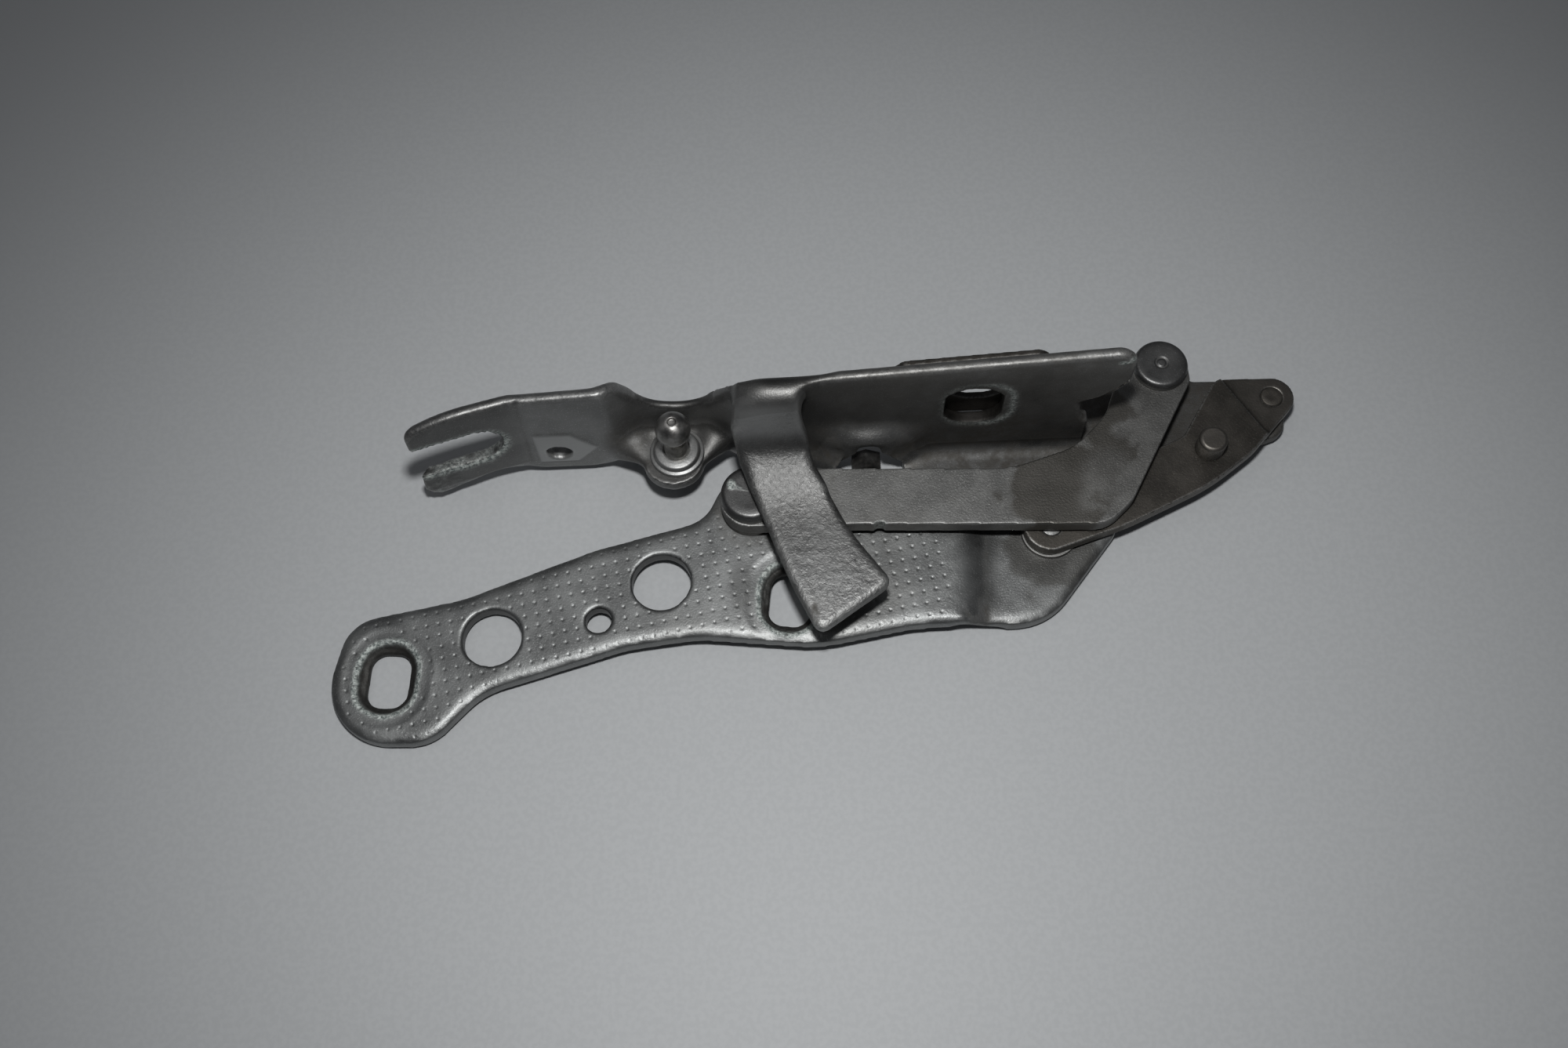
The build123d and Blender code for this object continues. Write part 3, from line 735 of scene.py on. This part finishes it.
def bracket_marks(skin):
    """Parts of the folded sheet, found before any of it is moved."""
    x, y, z = skin.x, skin.y, skin.z
    front = skin.normals[:, 1] < -0.4
    upright = (z > 4.0) & (y > 24.0)
    finger = (1 - ease(27.0, 31.0, y)) * (y < 31.0) * (z > 13.5) * between(x, 14.0, 62.0) > 0.3
    return SimpleNamespace(
        front=front,
        upright=upright,
        finger=finger,
        finger_face=finger & (skin.up > 0.3) & (z > 16.5),
        finger_walls=finger & (np.abs(skin.up) < 0.35),
        fork=slot_distance(x, z, FORK_SLOT, FORK_SIZE),
        prong_tip=(1 - ease(-56.0, -47.0, x)) * (z < 13.0),
        hood_slot=slot_distance(x, z, HOOD_SLOT, HOOD_SLOT_SIZE),
        off_arch=np.abs(x - ARCH_X),
        pad=pad_shape(x, z) * (upright & front),
        ragged=cloud(skin.points, 1.7, 5),
        lumps=cloud(skin.points, 4.2, 15),
    )


def crush_fork(skin, marks):
    """Dented rim of the fork slot, and a mangled tip on the lower prong."""
    crush = bell(np.maximum(marks.fork - 0.1, 0), 0, 1.3) * (skin.x < -30) * marks.front
    swollen = marks.prong_tip * (0.34 * marks.ragged + 0.40 * marks.lumps - 0.22)
    shift = skin.normals * swollen[:, None]
    shift[:, 1] += crush * (0.30 + 0.30 * marks.ragged)
    return shift


def press_flange(skin, marks):
    """Raised pad and pressed line left of the stud, dented rim and lowered top of the hood slot."""
    x, z = skin.x, skin.z
    face = marks.upright & marks.front
    line = bell(x, 0.03 * (z - 20) - 32.4, 0.55) * ease(3.0, 8.0, z) * (z < 36) * face
    ring = bell(marks.hood_slot, 0.6, 1.1) * between(x, 60, 100) * face
    back = 0.30 * line + ring * (0.16 + 0.22 * marks.ragged) - 0.32 * marks.pad
    low_top = bell(marks.hood_slot, 0.2, 2.2) * ease(27.0, 32.0, z) * marks.upright * between(x, 68, 90)
    return np.c_[0 * x, back, -1.3 * low_top]


def swell_arch(skin, marks):
    """The sheet swells forward over the screw; the arch's lip rises and its sides draw in."""
    y, z, off = skin.y, skin.z, marks.off_arch
    swell = (1 - ease(6.5, 15.5, off)) * window(z, (-1.0, 4.0), (10.5, 16.5)) * ease(28.0, 31.0, y)
    raised = np.clip(1 - (off / 10.5) ** 2, 0, 1) * window(z, (1.0, 6.0), (8.0, 20.0)) * (y > 29.0)
    narrow = np.sign(ARCH_X - skin.x) * window(off, (2.0, 6.5), (9.2, 12.0))
    narrow *= window(z, (1.2, 6.0), (9.0, 14.0)) * (y > 29.0)
    return np.c_[2.6 * narrow, -4.4 * swell, 4.4 * raised]


def shape_roll(skin):
    """The finger's roll over the flange gets a sloping left end, a slanted facet and a pinched fold."""
    x, y, z = skin.x, skin.y, skin.z
    on_roll = window(x, (17.0, 19.0), (40.0, 42.5)) * ease(27.0, 33.0, z)
    left_end = np.clip((26.0 - x) / 6.0, 0, 1.1) ** 1.5 * (y > 22.0) * ease(18.6, 21.0, x)
    facet = np.clip((24.5 - x) * 0.73 + (38.0 - y) * 0.68, 0, 6.0)
    pinch = np.exp(-plan_distance(x, y, (39.6, 34.0)) ** 2 / 7.0) * ease(36.0, 41.0, z)
    return np.c_[0 * x, -1.1 * pinch, 0.9 * pinch - (3.2 * left_end + 0.15 * facet) * on_roll]


def bend_finger(skin):
    """Draws out the finger's bend, which leans forward and is a little wider than the finger."""
    x, y, z = skin.x, skin.y, skin.z
    tongue = between(x, 14.0, 62.0) * (y < 33.2) * ease(13.6, 14.6, z)
    sweep = bell(y, 26.0, 10.0) * bell(z, 19.0, 13.0) * tongue * (1 - ease(29.0, 33.2, y))
    lean = 0.6 * np.clip((y + 17.0) / 43.0, 0, 1) * tongue
    lean *= (1 - ease(19.0, 33.0, z)) * (1 - ease(24.0, 31.0, y))
    left = bell(z, 28.0, 8.0) * (y < 33.5) * ease(20.0, 24.0, y) * (1 - ease(20.0, 26.0, x)) * (x > 16.0)
    right = bell(z, 22.0, 7.0) * (y < 33.0) * ease(14.0, 22.0, y) * ease(32.0, 37.0, x) * (x < 46.0)
    return np.c_[1.6 * right - 1.5 * left, -1.7 * sweep - 0.9 * lean, 2.8 * sweep + 2.2 * lean]


def hammer_finger(skin, marks):
    """Rounded edges and a cast, uneven face on the finger."""
    rim = rim_distance(skin, marks.finger_face, marks.finger_walls)
    hammer = cloud(skin.points, 1.5, 41) + 0.6 * cloud(skin.points, 0.95, 43)
    uneven = 0.06 * hammer * ease(0.4, 2.0, rim) * (1 - 0.85 * ease(24.0, 31.0, skin.y))
    height = np.where(marks.finger_face, uneven - rounding(rim, 1.7, 0.75), 0)
    return np.c_[0 * height, 0 * height, height]


def soften_bracket(skin, marks):
    """Soft transitions round the ear, the arch and the roll, and soft edges on the finger."""
    x, y, z = skin.x, skin.y, skin.z
    by_ear = window(x, (-18.0, -11.0), (18.0, 24.0)) * ease(28.0, 31.5, y) * (1 - ease(19.0, 24.0, z))
    by_arch = window(x, (33.0, 36.0), (66.0, 72.0)) * ease(29.0, 30.5, y) * (1 - ease(24.0, 28.0, z))
    by_arch *= np.where(marks.off_arch < 10.0, ease(10.5, 12.0, z), 1.0)
    by_roll = window(x, (14.0, 18.0), (41.0, 46.0)) * ease(17.0, 21.0, z) * ease(16.0, 21.0, y)
    soften(skin, np.clip(by_ear + 0.9 * by_arch + 0.9 * by_roll, 0, 1), 60)
    by_rim = rim_distance(skin, marks.finger, marks.finger_walls) < 1.4
    soften(skin, 0.8 * by_rim, 12)


def wear_bracket(skin, marks):
    """Bare crushed metal at both slots, a flake near pivot C, bright edges and cast grain on the finger."""
    x, y, z = skin.x, skin.y, skin.z
    face = marks.upright & marks.front
    edge = edge_value(skin, 0.05)
    round_fork = bell(marks.fork, 0.7 + 0.5 * cloud(skin.points, 3.0, 55), 1.2) * (x < -34) * face
    broken = ease(-0.7, 0.2, 0.7 * marks.lumps + 0.3 * marks.ragged)
    lower_wall = (np.abs(marks.fork) < 0.6) * (x < -38) * (z < 14.5) * broken * marks.upright
    tip = marks.prong_tip * ease(0.1, 0.7, marks.ragged)
    seat = bell(slot_distance(x, z, HOOD_SEAT, HOOD_SEAT_SIZE), -0.1, 1.0) * face * between(x, 66, 94)
    seat *= 0.35 + 0.4 * ease(76.0, 86.0, x)
    flake = blob(x, z, (112.2, 42.6), (1.9, 1.1)) + blob(x, z, (114.0, 43.6), (1.2, 1.4))
    flake = np.clip(flake, 0, 1) * marks.front
    bright = marks.finger * ease(0.25, 0.8, edge) * ease(-0.55, 0.1, cloud(skin.points, 5.0, 51))
    bright *= np.where(x < 26.0 - 0.33 * (y - 12.0), 1.0, 0.45) * (z < 34.0)
    scrapes = [round_fork, 0.6 * lower_wall, 0.55 * tip, seat, 0.8 * flake, 0.5 * bright]
    skin.give("scrape", np.max(scrapes, axis=0))
    skin.give("edge", edge + 0.5 * bright)
    facing_viewer = marks.finger & (skin.up - skin.normals[:, 1] > 0.6)
    skin.give("cast", np.where(facing_viewer, 1.0 - 0.85 * ease(35.0, 40.0, z), 0.12))
    # Painted light: the finger's bend is painted paler, as if lit; the pad is painted paler too
    bend = window(z, (26.0, 30.0), (35.0, 39.0)) * (y < 33.0) * between(x, 16.0, 42.0)
    skin.give("paler_and_painted_light", 0.85 * marks.pad + 0.75 * bend)


def soil_bracket(skin, marks):
    """Darker low on the flange, on its right part, on the prongs, the finger and round the stud; painted
    shade in hollows, in the slots, on the roll and on the tall flange; a chip; thin oil.
    """
    x, y, z = skin.x, skin.y, skin.z
    crest = (1 - ease(5.0, 13.0, marks.off_arch)) * bell(z, 14.5, 5.0) * (y > 27.0)
    low_flange = 0.55 * marks.upright * (x > 20) * (1 - ease(13.0, 24.0, z))
    dull = (0.42 + 0.3 * cloud(skin.points, 9.0, 61)) * ease(32.0, 46.0, x) * (y > 20) * ~marks.finger
    level = 0.5 * (skin.up > 0.7) * (z < 3.0)
    by_ball = 0.6 * blob(x, z, (-7.0, 13.0), (8.0, 12.0)) * (y > 25)
    # Painted shade in inside corners
    hollow = 0.5 * np.clip(-skin.convexity() / 0.04, 0, 1)
    chip = blob(x, y, (37.6, -15.6), (1.2, 3.6)) * (z > 15)
    skin.give("grime_and_painted_shade", (low_flange + dull + level + by_ball) * (1 - crest) + hollow + chip)
    # Painted shade in the slots, on the roll and on the tall flange; the other terms only darken
    in_slots = 0.60 * (marks.hood_slot < 0.3) * marks.upright * between(x, 66, 92)
    in_slots += 0.27 * (marks.fork < 0.2) * (x < -34) * marks.upright
    roll = 0.36 * ease(34.5, 40.0, z) * ease(20.0, 26.0, y) * between(x, 18.0, 41.0)
    tall = 0.34 * ease(22.0, 30.0, x) * (y > 33.0) * window(z, (2.0, 6.0), (36.0, 42.0))
    web = 0.45 * (z < 5.0) * (y > 20.0) * ease(60.0, 70.0, x)
    prongs = 0.42 * (1 - ease(-38.0, -29.0, x)) * marks.upright
    past_stud = 0.12 * ease(-12.0, 10.0, x) * marks.upright * (x < 20.0)
    by_stud = (0.12 + 0.30 * (skin.up > 0.4)) * (1 - ease(12.0, 19.0, plan_distance(x, y, (STUD[0], 35.0))))
    by_stud *= z < 26.0
    finger = 0.50 * marks.finger * (1 - ease(25.0, 31.0, z)) * (0.3 + 0.7 * ease(-16.0, 10.0, y))
    skin.give("darkening_and_painted_shade", in_slots + roll + (tall + web) * (1 - crest) + prongs + past_stud + by_stud + finger)
    behind_finger = (x > 20) * marks.upright * (z < 45) * ~marks.finger
    skin.give("oil", 0.35 * (x > 100) * (z < 3.0) + 0.3 * behind_finger)


def make_hood_bracket():
    """Folded bracket: crushed fork and hood slot, pressed pad and line, swollen arch, cast-like finger."""
    mesh = rounded_copy("upper_bracket", 0.51, 4, (EAR_ROOT_LEFT, EAR_ROOT_RIGHT, ARCH_FOOT, ROLL_ROOT))
    piece = add_piece("hood_bracket", mesh, "hood_side", ["upper_bracket"], HOOD_PAINT)
    skin = Skin(piece)
    marks = bracket_marks(skin)
    shift = crush_fork(skin, marks) + press_flange(skin, marks) + swell_arch(skin, marks)
    shift += shape_roll(skin) + bend_finger(skin) + hammer_finger(skin, marks)
    skin.move(shift)
    soften_bracket(skin, marks)
    wear_bracket(skin, marks)
    soil_bracket(skin, marks)


# Other plates

def make_arm():
    """Flat link above the plate: oily elbow with a paler, scratched spot, a burred notch."""
    mesh = rounded_copy("link_arm", 0.38, 3)
    piece = add_piece("arm_plate", mesh, "arm", ["link_arm"], ARM_PAINT)
    skin = Skin(piece)
    x, y = skin.x, skin.y
    elbow = blob(x, y, (99.5, 17.5), (17.5, 15.5)) + 0.55 * blob(x, y, (116.0, 33.0), (10.0, 16.0))
    oil = ease(0.25, 0.50, elbow + 0.45 * cloud(skin.points, 5.5, 71))
    oil *= 1 - 0.6 * blob(x, y, (112.0, 21.0), (9.0, 9.0))
    oil *= 1 - 0.55 * blob(x, y, (110.0, 13.5), (8.5, 6.5)) * ease(-0.5, 0.3, cloud(skin.points, 2.4, 73))
    skin.give("oil", np.maximum(oil, 0.35 * ease(108.0, 122.0, x)))
    skin.give("edge", edge_value(skin, 0.05))
    streaks = cloud(skin.points * np.array([0.6, 2.2, 1.0]), 2.2, 75)
    skin.give("paler_and_painted_light", 0.35 * blob(x, y, (109.5, 15.5), (7.0, 6.0)) * ease(0.1, 0.5, streaks))
    # Painted shade on the side walls and the underside
    skin.give("grime_and_painted_shade", 0.45 * (np.abs(skin.up) < 0.4) + 0.5 * (skin.up < -0.5))
    skin.give("scrape", 0.5 * blob(x, y, (54.6, 9.6), (2.2, 1.6)))


def make_link():
    """Lower link: paler far end, rust under the arm's elbow."""
    mesh = rounded_copy("short_link", 0.34, 3)
    piece = add_piece("link_plate", mesh, "link", ["short_link"], LINK_PAINT)
    skin = Skin(piece)
    skin.give("edge", edge_value(skin, 0.05))
    skin.give("oil", 0.25 + 0.3 * cloud(skin.points, 6.0, 81))
    skin.give("paler_and_painted_light", 0.5 * ease(147.5, 153.5, skin.x - 0.58 * (44.0 - skin.y)))
    near_b = 1 - ease(5.0, 12.0, plan_distance(skin.x, skin.y, PIVOT_B))
    rust = blob(skin.x, skin.y, (113.2, 8.6), (3.0, 3.2))
    # Darker round pivot B, rust under the elbow, and painted shade on the underside
    skin.give("grime_and_painted_shade", 0.35 * near_b + rust + 0.5 * (skin.up < -0.5))


def make_reinforcement():
    """Second sheet behind the flange, whose slot has a bulged lower edge."""
    node = "reinforcement_plate"
    mesh = rounded_copy(node, 0.34, 3)
    piece = add_piece("reinforcement", mesh, "hood_side", [node], LINK_PAINT)
    skin = Skin(piece)
    slot = slot_distance(skin.x, skin.z, BACK_SLOT, BACK_SLOT_SIZE)
    bulge = 3.0 * bell(np.maximum(slot, 0), 0, 2.6) * (1 - ease(20.0, 26.0, skin.z)) * (slot > -1)
    skin.move(np.c_[0 * bulge, 0 * bulge, bulge])
    skin.give("edge", edge_value(skin, 0.05))
    # Painted shade: the sheet behind the flange is darkened all over, patchily
    skin.give("grime_and_painted_shade", 0.4 + 0.4 * cloud(skin.points, 6.0, 85))
    skin.give("darkening_and_painted_shade", 0.62)


# Turned pieces

def turned_piece(name, points, centre, body, material):
    """A turned mesh in place of the node with this name; returns its skin, for more values."""
    mesh = lathe(points, (*centre, 0.0))
    piece = add_piece(name + "_turned", mesh, body, [name], material)
    skin = Skin(piece)
    skin.give("edge", skin.convexity(1) / 0.10)
    return skin


def make_rivets():
    """Two round heads that stand over the arm, and two flush ones in the link."""
    skin = turned_piece("rivet_a", [
        (0, 0.2, 0), (6.4, 0.2, 0.3), (6.4, 1.2, 0.2), (4.0, 1.2, 0), (4.0, 11.4, 0), (7.5, 11.42, 0.4),
        (7.5, 13.2, 0.9), (6.7, 14.3, 1.2), (4.9, 14.5, 0.8), (0, 14.35, 0),
    ], PIVOT_A, "arm", HEAD_PAINT)
    skin.give("scrape", blob(skin.x, skin.y, (18.4, 20.8), (1.5, 1.9)) * (skin.z > 12.5))
    # Painted shade below the head
    skin.give("grime_and_painted_shade", 0.6 * (skin.z < 12.0))
    skin = turned_piece("rivet_c", [
        (0, -3.4, 0), (6.4, -3.4, 0.3), (6.4, -2.2, 0.2), (4.0, -2.2, 0), (4.0, 11.4, 0), (6.9, 11.42, 0.3),
        (6.9, 12.9, 0.8), (6.3, 13.85, 0.9), (5.2, 14.0, 0.5), (1.9, 13.95, 0.1), (1.55, 13.7, 0.15),
        (1.2, 13.72, 0.1), (0.85, 13.95, 0.15), (0, 13.95, 0),
    ], PIVOT_C, "arm", HEAD_PAINT)
    groove = bell(plan_distance(skin.x, skin.y, PIVOT_C), 1.5, 0.3)
    # Painted shade below the head and in the ring groove
    skin.give("grime_and_painted_shade", 0.5 * (skin.z < 12.0) + 0.4 * groove)
    turned_piece("rivet_b", [
        (0, -3.7, 0), (5.2, -3.7, 0.2), (5.2, -3.12, 0.2), (2.75, -3.1, 0), (2.75, 5.9, 0.3), (0, 6.15, 0),
    ], PIVOT_B, "link", HEAD_PAINT)
    skin = turned_piece("rivet_d", [
        (0, -3.7, 0), (3.6, -3.7, 0.3), (3.6, -2.9, 0.2), (1.9, -2.9, 0), (1.9, 1.8, 0), (2.75, 1.82, 0),
        (2.75, 5.5, 0.35), (1.6, 5.68, 0.4), (0, 5.6, 0),
    ], PIVOT_D, "link", LINK_PAINT)
    skin.give("grime_and_painted_shade", 0.5)


def make_stop_pin():
    """Pin on the link, with a wide upper part that is paler on top."""
    skin = turned_piece("stop_pin", [
        (0, 2.8, 0), (2.6, 2.8, 0), (2.6, 6.2, 0), (3.6, 6.22, 0), (3.6, 11.7, 0.45), (2.9, 12.2, 0.3),
        (0, 12.1, 0),
    ], STOP_PIN, "link", LINK_PAINT)
    # Painted shade low on the pin, by the link
    skin.give("grime_and_painted_shade", 0.7 * (skin.z < 8.0))
    skin.give("paler_and_painted_light", 0.6 * (skin.z > 9.0))


def make_ball_stud():
    """Stepped collar, and the stud with a greasy neck and a dimple in its ball."""
    skin = turned_piece("stud_collar", [
        (3.0, 10.2, 0), (6.9, 10.2, 0.2), (6.9, 11.2, 0.35), (5.9, 11.5, 0.2), (5.6, 12.5, 0.5),
        (4.2, 12.8, 0.4), (3.0, 12.8, 0), (3.0, 10.2, 0),
    ], STUD, "hood_side", HOOD_PAINT)
    skin.give("paler_and_painted_light", 0.4)
    outline = [
        (0, 5.6, 0), (4.2, 5.6, 0.3), (4.2, 6.8, 0.2), (3.0, 6.8, 0), (3.0, 18.2, 0.6), (2.75, 19.3, 0.4),
    ]
    for degrees in range(-50, 76, 6):
        turn = math.radians(degrees)
        outline.append((BALL_R * math.cos(turn), BALL_Z + BALL_R * math.sin(turn), 0))
    outline += [(1.1, 27.45, 0.15), (0.9, 26.85, 0.2), (0, 26.8, 0)]
    skin = turned_piece("ball_stud", outline, STUD, "hood_side", BARE_STEEL)
    skin.give("grease", bell(skin.z, 19.2, 1.3) * (0.5 + 0.5 * cloud(skin.points, 2.0, 91)))


def make_rings():
    """Bushes and washers: outer and bore radius, then lower and upper face."""
    rings = [
        ("bush_a", 5.0, 4.04, 1.5, 4.3, PIVOT_A, "fender_side", "bare_steel", BARE_STEEL),
        ("washer_a", 7.5, 4.3, 4.3, 6.7, PIVOT_A, "fender_side", "bare_steel", DARK_STEEL),
        ("bush_b", 4.0, 2.79, -2.8, 1.5, PIVOT_B, "fender_side", "bare_steel", BARE_STEEL),
        ("washer_b", 7.2, 3.05, 1.5, 2.5, PIVOT_B, "fender_side", "bare_steel", DARK_STEEL),
        ("bush_c", 5.0, 4.04, -1.9, 5.2, PIVOT_C, "hood_side", "bare_steel", BARE_STEEL),
        ("washer_c", 7.4, 4.3, 5.2, 6.7, PIVOT_C, "hood_side", "bare_steel", DARK_STEEL),
        ("bush_d", 2.5, 1.9, -1.9, 1.5, PIVOT_D, "link", "bare_steel", BARE_STEEL),
        ("washer_d", 5.6, 1.9, -2.9, -2.2, PIVOT_D, "link", "bare_steel", DARK_STEEL),
    ]
    soft = 0.25
    for name, outer, bore, low, high, centre, body, slot, material in rings:
        outline = [(bore, low, 0), (outer, low, soft), (outer, high, soft), (bore, high, 0), (bore, low, 0)]
        turned_piece(name, outline, centre, body, material)


def add_hexagon(work, y0, y1):
    """Hexagon along Y with a corner up; its two ends narrow by the bevel."""
    reach = HEXAGON_ACROSS / 2 / math.cos(math.pi / 6)
    end = reach - HEXAGON_BEVEL
    inset = 0.6 * HEXAGON_BEVEL
    rows = []
    for y, r in ((y0, end), (y0 + inset, reach), (y1 - inset, reach), (y1, end)):
        row = []
        for k in range(6):
            x = SCREW_X + r * math.sin(math.pi * k / 3)
            z = SCREW_Z + r * math.cos(math.pi * k / 3)
            row.append(work.verts.new(Vector((x, y, z)) / 1000))
        rows.append(row)
    for low, high in zip(rows, rows[1:]):
        for k in range(6):
            work.faces.new((low[k], low[(k + 1) % 6], high[(k + 1) % 6], high[k]))
    work.faces.new(rows[0])
    work.faces.new(rows[-1])


def threaded_shank():
    """Shank of the stop screw, with a ridge at each turn of the thread."""
    points = [(0, SCREW_TIP, 0), (2.1, SCREW_TIP, 0.1)]
    for turn in range(16):
        y = SCREW_TIP + 0.4 + turn * THREAD_PITCH
        points += [(2.5, y, 0), (2.18, y + THREAD_PITCH / 2, 0)]
    points += [(2.2, HEAD_FROM, 0), (0, HEAD_FROM, 0)]
    return lathe(points, (SCREW_X, 0.0, SCREW_Z), 48, True)


def make_stop_screw():
    """Threaded screw with a hexagon head, and its locking nut."""
    for name, first, second in (("stop_screw", HEAD_FROM, HEAD_TO), ("stop_screw_nut", NUT_FROM, NUT_TO)):
        work = bmesh.new()
        add_hexagon(work, first, second)
        if name == "stop_screw":
            work.from_mesh(threaded_shank())
        bmesh.ops.recalc_face_normals(work, faces=work.faces)
        made = bpy.data.meshes.new(name)
        work.to_mesh(made)
        work.free()
        piece = add_piece(name + "_cut", made, "hood_side", [name], DARK_STEEL)
        for polygon in piece.data.polygons:
            polygon.use_smooth = False


# Stage

def add_floor():
    """Table top under the object."""
    mesh = bpy.data.meshes.new("floor")
    signs = ((-1, -1), (1, -1), (1, 1), (-1, 1))
    corners = [(i * FLOOR_HALF, j * FLOOR_HALF, FLOOR_Z) for i, j in signs]
    mesh.from_pydata(corners, [], [(0, 1, 2, 3)])
    floor = bpy.data.objects.new("floor", mesh)
    bpy.context.collection.objects.link(floor)
    mesh.materials.append(table_paint())


def add_camera():
    """Camera above and in front of the object, looking down at it."""
    data = bpy.data.cameras.new("camera")
    data.lens = LENS
    data.sensor_width = 36.0
    data.clip_start = 0.01
    camera = bpy.data.objects.new("camera", data)
    bpy.context.collection.objects.link(camera)
    turn = Euler([math.radians(degrees) for degrees in CAMERA_TURN])
    camera.matrix_world = Matrix.Translation(CAMERA_PLACE) @ turn.to_matrix().to_4x4()
    bpy.context.scene.camera = camera


def add_lamp(name, place, target, size, watts):
    data = bpy.data.lights.new(name, "AREA")
    data.size = size
    data.energy = watts
    lamp = bpy.data.objects.new(name, data)
    lamp.location = place
    lamp.rotation_euler = (Vector(target) - Vector(place)).to_track_quat("-Z", "Y").to_euler()
    bpy.context.collection.objects.link(lamp)


def add_light():
    """A small lamp by the camera, a large weak one from the left, and a faint even glow."""
    add_lamp("flash", place=(0.036, -0.062, 0.396), target=(0.03, 0.0, 0.0), size=0.030, watts=1.12)
    add_lamp("soft", place=(-0.25, 0.10, 0.75), target=(0.04, 0.0, 0.0), size=0.6, watts=0.30)
    world = bpy.data.worlds.new("world")
    bpy.context.scene.world = world
    world.use_nodes = True
    world.node_tree.nodes["Background"].inputs[0].default_value = WORLD_TONE
    world.node_tree.nodes["Background"].inputs[1].default_value = WORLD_STRENGTH
    bpy.context.scene.view_settings.view_transform = "Standard"


add_floor()
add_camera()
add_light()
make_plate()
make_hood_bracket()
make_arm()
make_link()
make_reinforcement()
make_rivets()
make_stop_pin()
make_ball_stud()
make_rings()
make_stop_screw()
